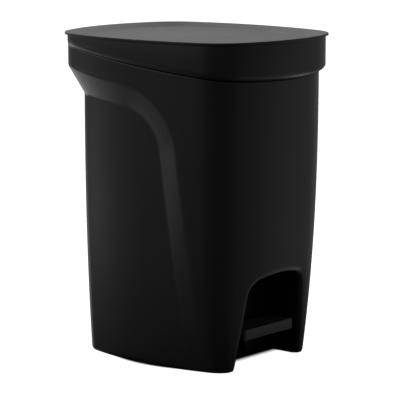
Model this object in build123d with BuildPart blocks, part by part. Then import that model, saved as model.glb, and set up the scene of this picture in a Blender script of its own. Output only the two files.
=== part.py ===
"""Pedal bin: a tapered casing with a dished lid that a foot pedal lifts through a push rod.

Millimetres. +Z is up, the origin lies on the floor under the middle of the lid, and the front,
with the pedal in its arch, faces -Y. The lid is modelled closed and the pedal up.
"""

import os
from math import asin, atan, cos, pi, radians, sin, sqrt, tan

from build123d import *

os.makedirs("parts", exist_ok=True)

# Overall size, and the plan outline that every level of the bin runs parallel to
bin_height = 370.0
lid_width = 241.0
lid_depth = 289.0
corner_radius = 55.5
side_bulge = 11.0

# Casing: a shield round the front, and a field stepped back behind it on the sides and the back
shell_wall = 2.5
foot_height = 3.0
shield_inset = 7.0
shield_shift = 4.5
shield_curve = 2.4
shield_foot_inset = 27.5
field_inset = 22.0
field_curve = 2.5
field_foot_inset = 28.5
flange_thickness = 3.5
flange_width = 36.0

# Styling lines of the side, which rise to the back by one slope
style_slope = radians(7.0)
collar_front_height = 37.0
collar_chamfer = 7.0
ledge_height = 24.5
recess_radius = 63.0
ramp_width = 29.0
recess_front = -87.0
recess_lean = 0.12
level_count = 8
arc_count = 8

# Arch in the front and the niche behind it
arch_height = 106.0
arch_foot_half = 58.4
arch_head_half = 51.2
arch_radius = 18.0
niche_gap = 5.5
housing_wall = 2.2

# Lid
lip_height = 4.2
skirt_height = 4.4
lid_gap = 0.4
lid_wall = 2.2
dish_rim = 2.0
dish_border = 22.0
dish_depth = 5.0
skirt_inset = 3.3

# Collar
collar_inset = 3.1
collar_wall = 2.5
mouth_wall = 2.7
spigot_depth = 14.0
ledge_drop = 12.0
ledge_reach = 9.0
beam_height = 4.0
cover_slot_half = 16.0

# Lid hinge and its stroke
hinge_back = 10.5
hinge_drop = 0.5
hinge_rod_radius = 2.0
knuckle_radius = 4.0
knuckle_width = 8.8
lug_width = 8.0
knuckle_offset = 25.0
knuckle_gap = 0.6
lid_swing = radians(80.0)
lift_radius = 27.0
lift_pin_radius = 2.0
bracket_plate = 2.5
bracket_bite = 1.6
bracket_half = 14.0
bracket_cheek = 3.0
bracket_reach = 6.0
bracket_boss_radius = 5.0
lift_pin_half = 9.0
cap_radius = 3.2
cap_height = 2.3
cap_skin = 0.6

# Push rod and its channel
rod_back = 38.5
rod_width = 8.0
rod_depth = 5.0
slot_play = 0.75
head_wall = 3.2
fork_thickness = 3.0
fork_wall = 1.7
fork_play = 0.4
bridge_height = 5.5
channel_wall = 2.0
channel_half = 15.0
channel_drop = 23.0
guide_height = 6.0
tab_width = 8.0
tab_thickness = 2.5
tab_bite = 2.5
guide_heights = (100.0, 290.0)

# Pedal lever
pivot_y = -5.0
pivot_z = 27.0
arm_width = 12.0
arm_thickness = 6.0
axle_radius = 2.5
tail_pin_radius = 2.5
bush_wall = 1.5
bush_flange_radius = 5.5
bush_flange = 1.3
pivot_boss_radius = 7.0
tail_boss_radius = 5.0
arm_overlap = 4.0
arm_gap = 2.5
lug_thickness = 3.5
lug_half_depth = 9.0
lug_foot = 17.0
clip_radius = 4.5
clip_thickness = 1.0
tread_width = 88.0
tread_setback = 37.0
tread_depth = 36.0
tread_top = 46.0
tread_height = 13.0
tread_skin = 4.0
tread_wall = 2.5
tread_corner = 8.0
groove_count = 4
groove_width = 2.0
groove_depth = 0.8
groove_pitch = 6.0
tab_setback = 4.5
tread_bite = 3.0

# Base frame and inner bucket
deck_top = 53.5
deck_thickness = 3.0
frame_wall = 2.5
boss_radius = 5.0
boss_bite = 10.0
niche_side_gap = 0.9
arm_slot_half = 8.0
arm_slot_foot = 8.0
arm_slot_head = 46.0
bucket_wall = 2.0
bucket_top_inset = 27.0
bucket_foot_inset = 36.0
bucket_gap = 2.9
bucket_rim = 2.5
step_gap = 1.8

# Fasteners, buffers and feet
screw_radius = 1.6
screw_head_radius = 3.0
screw_head_height = 1.6
tread_screw_setbacks = (12.0, 25.0)
foot_radius = 7.0
buffer_radius = 3.0
front_buffer_x = 40.0
side_buffer_y = 20.0

# Clearances
running_clearance = 0.05
sliding_clearance = 0.3
part_clearance = 0.6

# Sizes that follow from those above
half_width = lid_width / 2
half_depth = lid_depth / 2
centre_x = half_width - side_bulge - corner_radius
centre_y = half_depth - side_bulge - corner_radius
side_path = (side_bulge**2 + centre_y**2) / (2 * side_bulge)
front_path = (side_bulge**2 + centre_x**2) / (2 * side_bulge)
side_angle = asin(centre_y / side_path)
front_angle = asin(centre_x / front_path)
corner_angle = (side_angle + pi / 2 - front_angle) / 2

lip_bottom = bin_height - lip_height
skirt_bottom = lip_bottom - skirt_height
collar_top = skirt_bottom - lid_gap
panel_top = bin_height - dish_depth
panel_bottom = panel_top - lid_wall

rod_y = half_depth - rod_back
tread_front = tread_setback - half_depth
niche_back = tread_front + tread_depth + niche_gap
arm_front = niche_back - arm_overlap
tab_front = tread_front + tab_setback
hinge_y = half_depth - hinge_back
hinge_z = collar_top - hinge_drop
half_stroke = lid_swing / 2
lift_pin_y = hinge_y - lift_radius * cos(half_stroke)
lift_pin_z = hinge_z - lift_radius * sin(half_stroke)
lift = 2 * lift_radius * sin(half_stroke)
tail_reach = rod_y - pivot_y
rest_slope = lift / 2 / tail_reach
tail_z = pivot_z - lift / 2
tail_travel = tail_reach * (sqrt(1 + rest_slope**2) - 1)
pedal_swing = 2 * atan(rest_slope)

flange_reach = shield_foot_inset + flange_width
frame_bottom = foot_height + flange_thickness
deck_bottom = deck_top - deck_thickness
frame_inset = field_foot_inset + shell_wall + part_clearance
arm_half = arm_width / 2
lug_inner = arm_half + arm_gap
lug_outer = lug_inner + lug_thickness
bush_radius = axle_radius + bush_wall
fork_inner = arm_half + fork_play
fork_outer = fork_inner + fork_thickness
fork_y = rod_y + tail_travel / 2
fork_slot_half = tail_pin_radius + tail_travel / 2 + part_clearance
fork_half_depth = fork_slot_half + fork_wall
fork_bottom = tail_z - tail_boss_radius
bridge_bottom = tail_z + tail_boss_radius + part_clearance
rod_notch_half = fork_outer + 2.5
rod_notch_front = fork_y - fork_half_depth - 2.0
notch_half = knuckle_offset + knuckle_width / 2 + knuckle_gap + lug_width + 3.0
notch_floor = hinge_z - hinge_back - part_clearance
notch_front = hinge_y - hinge_back - knuckle_radius
lug_step = (knuckle_width + lug_width) / 2 + knuckle_gap
web_half = knuckle_radius - part_clearance
web_top = lip_bottom + part_clearance
cover_front = hinge_y - lift_radius - 9.0
head_slot_half = (lift_radius * (1 - cos(half_stroke))) / 2 + lift_pin_radius + slot_play + part_clearance
head_y = (lift_pin_y + hinge_y - lift_radius) / 2
head_half_height = lift_pin_radius + slot_play + head_wall
cheek_inner = rod_width / 2 + part_clearance
cheek_outer = cheek_inner + bracket_cheek
lug_end = knuckle_offset + lug_step + lug_width / 2
cap_inner = lug_end + sliding_clearance
channel_front = rod_y - fork_half_depth - channel_wall - part_clearance
channel_back = rod_y + fork_half_depth
bucket_back = channel_front - bucket_gap
channel_top = collar_top - channel_drop
tread_middle = tread_front + tread_depth / 2
tread_bottom = tread_top - tread_height
skin_bottom = tread_top - tread_skin
housing_back = niche_back + housing_wall
niche_half = arch_foot_half + housing_wall + niche_side_gap
bucket_bottom = deck_top + part_clearance
step_back = housing_back + part_clearance
step_top = arch_height + housing_wall + step_gap
far = 2 * bin_height


def level_at(y, z):
    """The sloping level on which the point at y, z lies."""
    return z * cos(style_slope) - y * sin(style_slope)


def level_plane(level):
    """Plane of one sloping level."""
    normal = (0, -sin(style_slope), cos(style_slope))
    return Plane(origin=(0, 0, 0), x_dir=(1, 0, 0), z_dir=normal).offset(level)


def on_level(point, level):
    """Where the vertical line through a plan point meets a level, in the level's own plane."""
    if level is None:
        return point
    return (point[0], point[1] / cos(style_slope) + level * tan(style_slope))


def side_x(inset, y):
    """Half width of the outline at y, along its side arc."""
    return centre_x + side_bulge - side_path + sqrt((side_path + corner_radius - inset) ** 2 - y**2)


def front_y(inset, x=0.0):
    """Half depth of the outline at x, along its front arc."""
    return centre_y + side_bulge - front_path + sqrt((front_path + corner_radius - inset) ** 2 - x**2)


def corner_marks(inset, shift, facing):
    """Where the arcs meet at the right front corner of the outline, or with facing 1 at the right back."""
    radius = corner_radius - inset
    angles = (pi / 2 - front_angle, corner_angle, side_angle)
    return [(centre_x + radius * cos(a), facing * (centre_y + radius * sin(a)) + shift) for a in angles]


def draw_loop(front, right, back, level, mode):
    """Draws a face that is the same on the left as on the right, from arcs and lines in plan."""
    left = [[(-x, y) for x, y in reversed(piece)] for piece in reversed(right)]
    with BuildLine() as loop:
        for piece in [front, *right, back, *left]:
            points = [on_level(point, level) for point in piece]
            if len(points) == 3:
                ThreePointArc(*points)
            else:
                Line(*points)
    make_face(loop.edges(), mode=mode)


def outline(inset, shift=0.0, level=None, mode=Mode.ADD):
    """Draws the plan outline moved inward by inset and back by shift, flat or on a sloping level."""
    front_corner = corner_marks(inset, shift, -1)
    back_corner = corner_marks(inset, shift, 1)
    side = [front_corner[2], (side_x(inset, 0), shift), back_corner[2]]
    front = [(-front_corner[0][0], front_corner[0][1]), (0, shift - front_y(inset)), front_corner[0]]
    back = [back_corner[0], (0, shift + front_y(inset)), (-back_corner[0][0], back_corner[0][1])]
    draw_loop(front, [front_corner, side, back_corner[::-1]], back, level, mode)


collar_level = level_at(-front_y(collar_inset), collar_top - collar_front_height)
band_level = collar_level + collar_chamfer
ledge_level = collar_level - ledge_height
ramp_level = ledge_level - ramp_width
corner_level = ledge_level - recess_radius
low_level = level_at(half_depth, 0)


def shield_at(level):
    """Inset and backward shift of the shield at a level."""
    depth = max(0.0, (collar_level - level) / (collar_level - level_at(-centre_y, 0)))
    share = depth**shield_curve
    return shield_inset + (shield_foot_inset - shield_inset) * share, shield_shift * (1 - share)


def field_at(level):
    """Inset and backward shift of the stepped-back field at a level; above the ramp it meets the shield."""
    depth = max(0.0, (ramp_level - level) / (ramp_level - level_at(centre_y, 0)))
    inset = field_inset + (field_foot_inset - field_inset) * depth**field_curve
    blend = min(1.0, max(0.0, (level - ramp_level) / ramp_width))
    outer_inset, outer_shift = shield_at(level)
    return inset + (outer_inset - inset) * blend, outer_shift * blend


def ramp_at(level):
    """Front and rear edge, in y, of the ramp from the shield down to the field."""
    rise = min(0.995 * recess_radius, max(0.0, level - corner_level))
    middle = recess_front + recess_lean * level + recess_radius
    front = middle - sqrt(recess_radius**2 - rise**2)
    rear = middle - sqrt(max(0.0, (recess_radius - ramp_width) ** 2 - rise**2))
    return front, rear


def side_arc(inset, shift, start, end):
    """Three points of the right side arc between two values of y."""
    return [(side_x(inset, y - shift), y) for y in (start, (start + end) / 2, end)]


def shell_section(level, wall):
    """Draws the casing's section on one level, moved inward by wall."""
    inset, shift = shield_at(level)
    rear_inset, rear_shift = field_at(level)
    inset += wall
    rear_inset += wall
    front_corner = corner_marks(inset, shift, -1)
    back_corner = corner_marks(rear_inset, rear_shift, 1)
    ramp_front, ramp_rear = ramp_at(level)
    ramp_front = max(ramp_front, front_corner[2][1] + shell_wall)
    shield = side_arc(inset, shift, front_corner[2][1], ramp_front)
    field = side_arc(rear_inset, rear_shift, ramp_rear, back_corner[2][1])
    right = [front_corner, shield, [shield[2], field[0]], field, back_corner[::-1]]
    front = [(-front_corner[0][0], front_corner[0][1]), (0, shift - front_y(inset)), front_corner[0]]
    back = [back_corner[0], (0, rear_shift + front_y(rear_inset)), (-back_corner[0][0], back_corner[0][1])]
    draw_loop(front, right, back, level, Mode.ADD)


def arch(grow=0.0):
    """Draws the arch of the pedal opening in the active sketch, larger by grow all round."""
    with BuildLine() as loop:
        Polyline(
            (-arch_foot_half - grow, -foot_height),
            (-arch_head_half - grow, arch_height + grow),
            (arch_head_half + grow, arch_height + grow),
            (arch_foot_half + grow, -foot_height),
            close=True,
        )
    make_face(loop.edges())


def hinge_notch():
    """Draws the gap in the back of the rim in which the lid's knuckles turn."""
    with Locations((0, notch_front)):
        Rectangle(2 * notch_half, lid_depth, align=(Align.CENTER, Align.MIN))


def dish_bottom(inset):
    """Height of the lid's underside at an inset, along the dish's slope."""
    return panel_bottom + dish_depth * (dish_rim + dish_border - inset) / dish_border


slope_levels = [low_level + (corner_level - low_level) * i / level_count for i in range(level_count + 1)]
arc_levels = [corner_level + recess_radius * sin(pi / 2 * i / arc_count) for i in range(1, arc_count)]
shell_levels = [*slope_levels, *arc_levels, ledge_level, collar_level]
cavity_levels = [low_level - shell_wall, *shell_levels[1:-1], collar_level + shell_wall]
lining_levels = [level for level in cavity_levels if level < arch_height + half_depth / 2]

# Places of the fasteners and feet, in plan
frame_screws = [(side * (centre_x + 22.0), niche_back + 16.0) for side in (-1, 1)]
frame_screws += [(side * (centre_x + 12.0), centre_y - 8.0) for side in (-1, 1)]
foot_places = [(side * (centre_x + 13.5), -centre_y - 8.0) for side in (-1, 1)]
foot_places += [(side * (centre_x + 4.0), centre_y + 12.0) for side in (-1, 1)]
tab_screws = [(side * (channel_half + tab_width / 2), rod_y) for side in (-1, 1)]
bracket_screws = [(side * (bracket_half - screw_head_radius), lift_pin_y) for side in (-1, 1)]
tread_screw_ys = [tread_front + setback for setback in tread_screw_setbacks]
buffer_inset = skirt_inset + lid_wall + part_clearance + buffer_radius
buffer_places = [(side * front_buffer_x, -front_y(buffer_inset, front_buffer_x)) for side in (-1, 1)]
buffer_places += [(side * side_x(buffer_inset, side_buffer_y), side_buffer_y) for side in (-1, 1)]

# Places and sizes of the collar's and lid's working parts
mouth_inset = shield_inset + shell_wall + sliding_clearance + mouth_wall
ledge_top = collar_top - ledge_drop
lug_places = [side * (knuckle_offset + step) for side in (-1, 1) for step in (-lug_step, lug_step)]
knuckle_places = [-knuckle_offset, knuckle_offset]

# Hollow inside the casing, above its bottom flange
with BuildPart() as cavity:
    for level in cavity_levels:
        with BuildSketch(level_plane(level)):
            shell_section(level, shell_wall)
    loft(ruled=True)
    split(bisect_by=Plane.XY.offset(frame_bottom), keep=Keep.TOP)

# Casing
with BuildPart() as outer_shell:
    for level in shell_levels:
        with BuildSketch(level_plane(level)):
            shell_section(level, 0.0)
    loft(ruled=True)
    split(bisect_by=Plane.XY.offset(foot_height), keep=Keep.TOP)
    add(cavity.part, mode=Mode.SUBTRACT)
    with BuildSketch():
        Rectangle(lid_width - 2 * flange_reach, lid_depth - 2 * flange_reach)
        with Locations((0, rod_y)):
            Rectangle(2 * rod_notch_half, 2 * (rod_y - rod_notch_front))
    extrude(amount=frame_bottom + 1.0, mode=Mode.SUBTRACT)
    with BuildSketch(Plane.XZ.offset(-niche_back)):
        arch()
        fillet(vertices().group_by(Axis.Y)[-1], arch_radius)
    extrude(amount=far, mode=Mode.SUBTRACT)
    with BuildSketch(Plane.XY.offset(notch_floor)):
        hinge_notch()
    extrude(amount=far, mode=Mode.SUBTRACT)
    with Locations(*[Location((x, y, foot_height), (180, 0, 0)) for x, y in frame_screws]):
        CounterSinkHole(
            screw_radius + running_clearance, screw_head_radius + part_clearance, flange_thickness
        )
outer_shell.part.label = "outer_shell"
export_step(outer_shell.part, "parts/outer_shell.step")

# Space under the lid's dish, inside its skirt
with BuildPart() as lid_hollow:
    with BuildSketch(Plane.XY.offset(skirt_bottom)):
        outline(skirt_inset + lid_wall)
    extrude(amount=dish_bottom(skirt_inset + lid_wall) - skirt_bottom)
    with BuildSketch(Plane.XY.offset(panel_bottom)):
        outline(dish_rim + dish_border)
    with BuildSketch(Plane.XY.offset(dish_bottom(dish_rim))):
        outline(dish_rim)
    loft(ruled=True, mode=Mode.SUBTRACT)

# Ring on top of the casing, with the bucket's ledge, the deck over the push rod and the hinge lugs
with BuildPart() as rim_collar:
    with BuildSketch(level_plane(band_level)):
        outline(collar_inset, 0.0, band_level)
    extrude(amount=far / 4, dir=(0, 0, 1))
    split(bisect_by=Plane.XY.offset(collar_top), keep=Keep.BOTTOM)
    with BuildSketch(Plane.XY.offset(collar_top - collar_wall)):
        outline(collar_inset + collar_wall)
    extrude(amount=-far, mode=Mode.SUBTRACT)
    with BuildSketch(level_plane(collar_level)):
        outline(shield_inset, shield_shift, collar_level)
    with BuildSketch(level_plane(band_level)):
        outline(collar_inset, 0.0, band_level)
    loft(ruled=True)
    with BuildSketch(level_plane(collar_level - spigot_depth)):
        outline(mouth_inset - mouth_wall, shield_shift, collar_level - spigot_depth)
    extrude(amount=far / 4, dir=(0, 0, 1))
    split(bisect_by=Plane.XY.offset(collar_top), keep=Keep.BOTTOM)
    with BuildSketch():
        outline(mouth_inset, shield_shift)
    extrude(amount=far, mode=Mode.SUBTRACT)
    with BuildSketch(Plane.XY.offset(ledge_top)):
        outline(mouth_inset - mouth_wall / 2, shield_shift)
        outline(mouth_inset + ledge_reach, shield_shift, mode=Mode.SUBTRACT)
        with Locations((0, bucket_back)):
            Rectangle(lid_width, lid_depth, align=(Align.CENTER, Align.MIN), mode=Mode.SUBTRACT)
    extrude(amount=-collar_wall)
    with BuildSketch(Plane.XY.offset(collar_top)):
        outline(mouth_inset - mouth_wall / 2, shield_shift)
        with Locations((0, cover_front)):
            Rectangle(lid_width, lid_depth, align=(Align.CENTER, Align.MAX), mode=Mode.SUBTRACT)
            Rectangle(2 * cover_slot_half, lid_depth, align=(Align.CENTER, Align.MIN), mode=Mode.SUBTRACT)
    extrude(amount=-collar_wall)
    with BuildSketch(Plane.XY.offset(notch_floor)):
        hinge_notch()
    extrude(amount=far, mode=Mode.SUBTRACT)
    with BuildSketch(Plane.XY.offset(notch_floor)):
        hinge_notch()
        outline(mouth_inset - mouth_wall, shield_shift, mode=Mode.INTERSECT)
        with Locations((0, hinge_y - knuckle_radius - collar_wall)):
            Rectangle(lid_width, lid_depth, align=(Align.CENTER, Align.MAX), mode=Mode.SUBTRACT)
    extrude(amount=-beam_height)
    for place in lug_places:
        with BuildSketch(Plane.YZ.offset(place)):
            with Locations((hinge_y, hinge_z)):
                Circle(knuckle_radius)
                Rectangle(2 * web_half, hinge_z - notch_floor, align=(Align.CENTER, Align.MAX))
        extrude(amount=lug_width / 2, both=True)
    with BuildSketch(Plane.YZ):
        with Locations((hinge_y, hinge_z)):
            Circle(hinge_rod_radius + running_clearance)
    extrude(amount=notch_half, both=True, mode=Mode.SUBTRACT)
rim_collar.part.label = "rim_collar"
export_step(rim_collar.part, "parts/rim_collar.step")

# Lid: lip and skirt round a dished panel, with two hinge knuckles at the back
with BuildPart() as lid:
    with BuildSketch(Plane.XY.offset(lip_bottom)):
        outline(0.0)
    extrude(amount=lip_height)
    with BuildSketch(Plane.XY.offset(skirt_bottom)):
        outline(skirt_inset)
    extrude(amount=skirt_height)
    with BuildSketch(Plane.XY.offset(panel_top)):
        outline(dish_rim + dish_border)
    with BuildSketch(Plane.XY.offset(bin_height)):
        outline(dish_rim)
    loft(ruled=True, mode=Mode.SUBTRACT)
    add(lid_hollow.part, mode=Mode.SUBTRACT)
    with BuildSketch(Plane.XY.offset(skirt_bottom)):
        with Locations((0, hinge_y - hinge_rod_radius)):
            Rectangle(lid_width, lid_depth, align=(Align.CENTER, Align.MIN))
    extrude(amount=skirt_height, mode=Mode.SUBTRACT)
    for place in knuckle_places:
        with BuildSketch(Plane.YZ.offset(place)):
            with Locations((hinge_y, hinge_z)):
                Circle(knuckle_radius)
                Rectangle(2 * web_half, web_top - hinge_z, align=(Align.CENTER, Align.MIN))
        extrude(amount=knuckle_width / 2, both=True)
    with BuildSketch(Plane.YZ):
        with Locations((hinge_y, hinge_z)):
            Circle(hinge_rod_radius + running_clearance)
    extrude(amount=notch_half, both=True, mode=Mode.SUBTRACT)
    with Locations(*[(x, y, panel_bottom) for x, y in bracket_screws]):
        Cylinder(
            screw_radius + running_clearance,
            bracket_bite + running_clearance,
            align=(Align.CENTER, Align.CENTER, Align.MIN),
            mode=Mode.SUBTRACT,
        )
lid.part.label = "lid"
export_step(lid.part, "parts/lid.step")

# Bracket under the lid that carries the lift pin
with BuildPart() as lift_bracket:
    with BuildSketch(Plane.XY.offset(panel_bottom)):
        with Locations((0, lift_pin_y)):
            Rectangle(2 * bracket_half, 2 * bracket_reach)
    extrude(amount=-bracket_plate)
    for side in (-1, 1):
        with BuildSketch(Plane.YZ.offset(side * (cheek_inner + cheek_outer) / 2)):
            with Locations((lift_pin_y, lift_pin_z)):
                Circle(bracket_boss_radius)
                Rectangle(
                    2 * bracket_boss_radius,
                    panel_bottom - bracket_plate / 2 - lift_pin_z,
                    align=(Align.CENTER, Align.MIN),
                )
        extrude(amount=bracket_cheek / 2, both=True)
    with BuildSketch(Plane.YZ):
        with Locations((lift_pin_y, lift_pin_z)):
            Circle(lift_pin_radius + running_clearance)
    extrude(amount=bracket_half, both=True, mode=Mode.SUBTRACT)
    with Locations(*[(x, y, panel_bottom) for x, y in bracket_screws]):
        Hole(screw_radius + running_clearance)
lift_bracket.part.label = "lift_bracket"
export_step(lift_bracket.part, "parts/lift_bracket.step")

# Screws that hold the bracket to the lid
with BuildPart() as lift_bracket_screws:
    with Locations(*[(x, y, panel_bottom - bracket_plate) for x, y in bracket_screws]):
        Cylinder(screw_radius, bracket_plate + bracket_bite, align=(Align.CENTER, Align.CENTER, Align.MIN))
        Cylinder(screw_head_radius, screw_head_height, align=(Align.CENTER, Align.CENTER, Align.MAX))
lift_bracket_screws.part.label = "lift_bracket_screws"
export_step(lift_bracket_screws.part, "parts/lift_bracket_screws.step")

# Pin through the bracket's cheeks and the push rod's head
with BuildPart() as lift_pin:
    with BuildSketch(Plane.YZ):
        with Locations((lift_pin_y, lift_pin_z)):
            Circle(lift_pin_radius)
    extrude(amount=lift_pin_half, both=True)
lift_pin.part.label = "lift_pin"
export_step(lift_pin.part, "parts/lift_pin.step")

# Rod on which the lid turns
with BuildPart() as lid_hinge_rod:
    with BuildSketch(Plane.YZ):
        with Locations((hinge_y, hinge_z)):
            Circle(hinge_rod_radius)
    extrude(amount=cap_inner + cap_height - cap_skin - running_clearance, both=True)
lid_hinge_rod.part.label = "lid_hinge_rod"
export_step(lid_hinge_rod.part, "parts/lid_hinge_rod.step")

# Caps on the ends of the hinge rod
with BuildPart() as hinge_rod_caps:
    for side in (-1, 1):
        with BuildSketch(Plane.YZ.offset(side * cap_inner)):
            with Locations((hinge_y, hinge_z)):
                Circle(cap_radius)
        extrude(amount=side * cap_height)
    with BuildSketch(Plane.YZ):
        with Locations((hinge_y, hinge_z)):
            Circle(hinge_rod_radius + running_clearance)
    extrude(amount=cap_inner + cap_height - cap_skin, both=True, mode=Mode.SUBTRACT)
hinge_rod_caps.part.label = "hinge_rod_caps"
export_step(hinge_rod_caps.part, "parts/hinge_rod_caps.step")

# Soft buffers on the collar under the lid
with BuildPart() as lid_buffers:
    with BuildSketch(Plane.XY.offset(collar_top)):
        with Locations(*buffer_places):
            Circle(buffer_radius)
    extrude(amount=dish_bottom(buffer_inset + buffer_radius) - sliding_clearance - collar_top)
lid_buffers.part.label = "lid_buffers"
export_step(lid_buffers.part, "parts/lid_buffers.step")

# Push rod: bar with a slotted head for the lift pin and a slotted fork for the tail pin
with BuildPart() as push_rod:
    with BuildSketch(Plane.XY.offset(bridge_bottom)):
        with Locations((0, rod_y)):
            Rectangle(rod_width, rod_depth)
    extrude(amount=lift_pin_z - bridge_bottom)
    with BuildSketch(Plane.YZ):
        with Locations((head_y, lift_pin_z)):
            Rectangle(2 * (head_slot_half + head_wall), 2 * head_half_height)
    extrude(amount=rod_width / 2, both=True)
    with BuildSketch(Plane.YZ):
        with Locations((head_y, lift_pin_z)):
            SlotOverall(2 * head_slot_half, 2 * (lift_pin_radius + slot_play))
    extrude(amount=rod_width, both=True, mode=Mode.SUBTRACT)
    with BuildSketch(Plane.XY.offset(fork_bottom)):
        with Locations((0, fork_y)):
            Rectangle(2 * fork_outer, 2 * fork_half_depth)
    extrude(amount=bridge_bottom + bridge_height - fork_bottom)
    with BuildSketch(Plane.XY.offset(fork_bottom)):
        with Locations((0, fork_y)):
            Rectangle(2 * fork_inner, 2 * fork_half_depth)
    extrude(amount=bridge_bottom - fork_bottom, mode=Mode.SUBTRACT)
    with BuildSketch(Plane.YZ):
        with Locations((fork_y, tail_z)):
            SlotOverall(2 * fork_slot_half, 2 * (tail_pin_radius + fork_play))
    extrude(amount=fork_outer, both=True, mode=Mode.SUBTRACT)
push_rod.part.label = "push_rod"
export_step(push_rod.part, "parts/push_rod.step")

# Upright channel that guides the push rod behind the bucket
with BuildPart() as rod_channel:
    with BuildSketch(Plane.XY.offset(deck_top)):
        with Locations((0, channel_front)):
            Rectangle(2 * channel_half, channel_back - channel_front, align=(Align.CENTER, Align.MIN))
        with Locations((0, channel_front + channel_wall)):
            Rectangle(
                2 * (channel_half - channel_wall),
                channel_back - channel_front,
                align=(Align.CENTER, Align.MIN),
                mode=Mode.SUBTRACT,
            )
    extrude(amount=channel_top - deck_top)
    for height in guide_heights:
        with BuildSketch(Plane.XY.offset(height)):
            with Locations((0, channel_front)):
                Rectangle(2 * channel_half, channel_back - channel_front, align=(Align.CENTER, Align.MIN))
            with Locations((0, rod_y)):
                Rectangle(
                    rod_width + 2 * sliding_clearance, rod_depth + 2 * sliding_clearance, mode=Mode.SUBTRACT
                )
        extrude(amount=guide_height)
    with BuildSketch(Plane.XY.offset(deck_top)):
        with Locations(*tab_screws):
            Rectangle(tab_width, tab_width)
            Circle(screw_radius + running_clearance, mode=Mode.SUBTRACT)
    extrude(amount=tab_thickness)
rod_channel.part.label = "rod_channel"
export_step(rod_channel.part, "parts/rod_channel.step")

# Screws through the channel's foot tabs
with BuildPart() as channel_screws:
    with Locations(*[(x, y, deck_top + tab_thickness) for x, y in tab_screws]):
        Cylinder(screw_radius, tab_thickness + tab_bite, align=(Align.CENTER, Align.CENTER, Align.MAX))
        Cylinder(screw_head_radius, screw_head_height, align=(Align.CENTER, Align.CENTER, Align.MIN))
channel_screws.part.label = "channel_screws"
export_step(channel_screws.part, "parts/channel_screws.step")

# Base frame: a deck on a skirt, with bosses for the screws and lugs for the pedal axle
with BuildPart() as base_frame:
    with BuildSketch(Plane.XY.offset(frame_bottom)):
        outline(frame_inset)
        with Locations((0, step_back)):
            Rectangle(2 * niche_half, lid_depth, align=(Align.CENTER, Align.MAX), mode=Mode.SUBTRACT)
    extrude(amount=deck_top - frame_bottom)
    with BuildSketch(Plane.XY.offset(frame_bottom)):
        outline(frame_inset + frame_wall)
        with Locations((0, step_back + frame_wall)):
            Rectangle(
                2 * (niche_half + frame_wall), lid_depth, align=(Align.CENTER, Align.MAX), mode=Mode.SUBTRACT
            )
        with Locations(*frame_screws):
            Circle(boss_radius, mode=Mode.SUBTRACT)
    extrude(amount=deck_bottom - frame_bottom, mode=Mode.SUBTRACT)
    for side in (-1, 1):
        with BuildSketch(Plane.XY.offset(deck_bottom)):
            with Locations((side * (lug_inner + lug_outer) / 2, pivot_y)):
                Rectangle(lug_thickness, 2 * lug_half_depth)
        extrude(amount=lug_foot - deck_bottom)
    with BuildSketch(Plane.YZ):
        with Locations((pivot_y, pivot_z)):
            Circle(bush_radius + running_clearance)
    extrude(amount=lug_outer, both=True, mode=Mode.SUBTRACT)
    with BuildSketch(Plane.XY.offset(frame_bottom)):
        with Locations((0, rod_notch_front)):
            Rectangle(2 * rod_notch_half, lid_depth, align=(Align.CENTER, Align.MIN))
    extrude(amount=deck_top - frame_bottom, mode=Mode.SUBTRACT)
    with BuildSketch(Plane.XZ.offset(-step_back)):
        with Locations((0, arm_slot_foot)):
            Rectangle(2 * arm_slot_half, arm_slot_head - arm_slot_foot, align=(Align.CENTER, Align.MIN))
    extrude(amount=-2 * frame_wall, mode=Mode.SUBTRACT)
    with Locations(*[Location((x, y, frame_bottom), (180, 0, 0)) for x, y in frame_screws]):
        Hole(screw_radius + running_clearance, boss_bite + part_clearance)
    with Locations(*[(x, y, deck_top) for x, y in tab_screws]):
        Hole(screw_radius + running_clearance, tab_bite + running_clearance)
base_frame.part.label = "base_frame"
export_step(base_frame.part, "parts/base_frame.step")

# Screws from below through the casing's flange into the frame
with BuildPart() as base_screws:
    with Locations(*[(x, y, foot_height + running_clearance) for x, y in frame_screws]):
        Cone(
            screw_head_radius,
            screw_radius,
            screw_head_height,
            align=(Align.CENTER, Align.CENTER, Align.MIN),
        )
        Cylinder(screw_radius, flange_thickness + boss_bite, align=(Align.CENTER, Align.CENTER, Align.MIN))
base_screws.part.label = "base_screws"
export_step(base_screws.part, "parts/base_screws.step")

# Lining of the niche behind the arch, fitted to the inside of the casing
with BuildPart() as pedal_housing:
    for level in lining_levels:
        with BuildSketch(level_plane(level)):
            shell_section(level, shell_wall + sliding_clearance)
    loft(ruled=True)
    split(bisect_by=Plane.XY.offset(frame_bottom), keep=Keep.TOP)
    with BuildSketch(Plane.XZ.offset(-housing_back)):
        arch(housing_wall)
        fillet(vertices().group_by(Axis.Y)[-1], arch_radius + housing_wall)
    extrude(amount=far, mode=Mode.INTERSECT)
    with BuildSketch(Plane.XZ.offset(-niche_back)):
        arch()
        fillet(vertices().group_by(Axis.Y)[-1], arch_radius)
    extrude(amount=far, mode=Mode.SUBTRACT)
    with BuildSketch(Plane.XZ.offset(-niche_back)):
        with Locations((0, arm_slot_foot)):
            Rectangle(2 * arm_slot_half, arm_slot_head - arm_slot_foot, align=(Align.CENTER, Align.MIN))
    extrude(amount=-2 * housing_wall, mode=Mode.SUBTRACT)
pedal_housing.part.label = "pedal_housing"
export_step(pedal_housing.part, "parts/pedal_housing.step")

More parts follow.
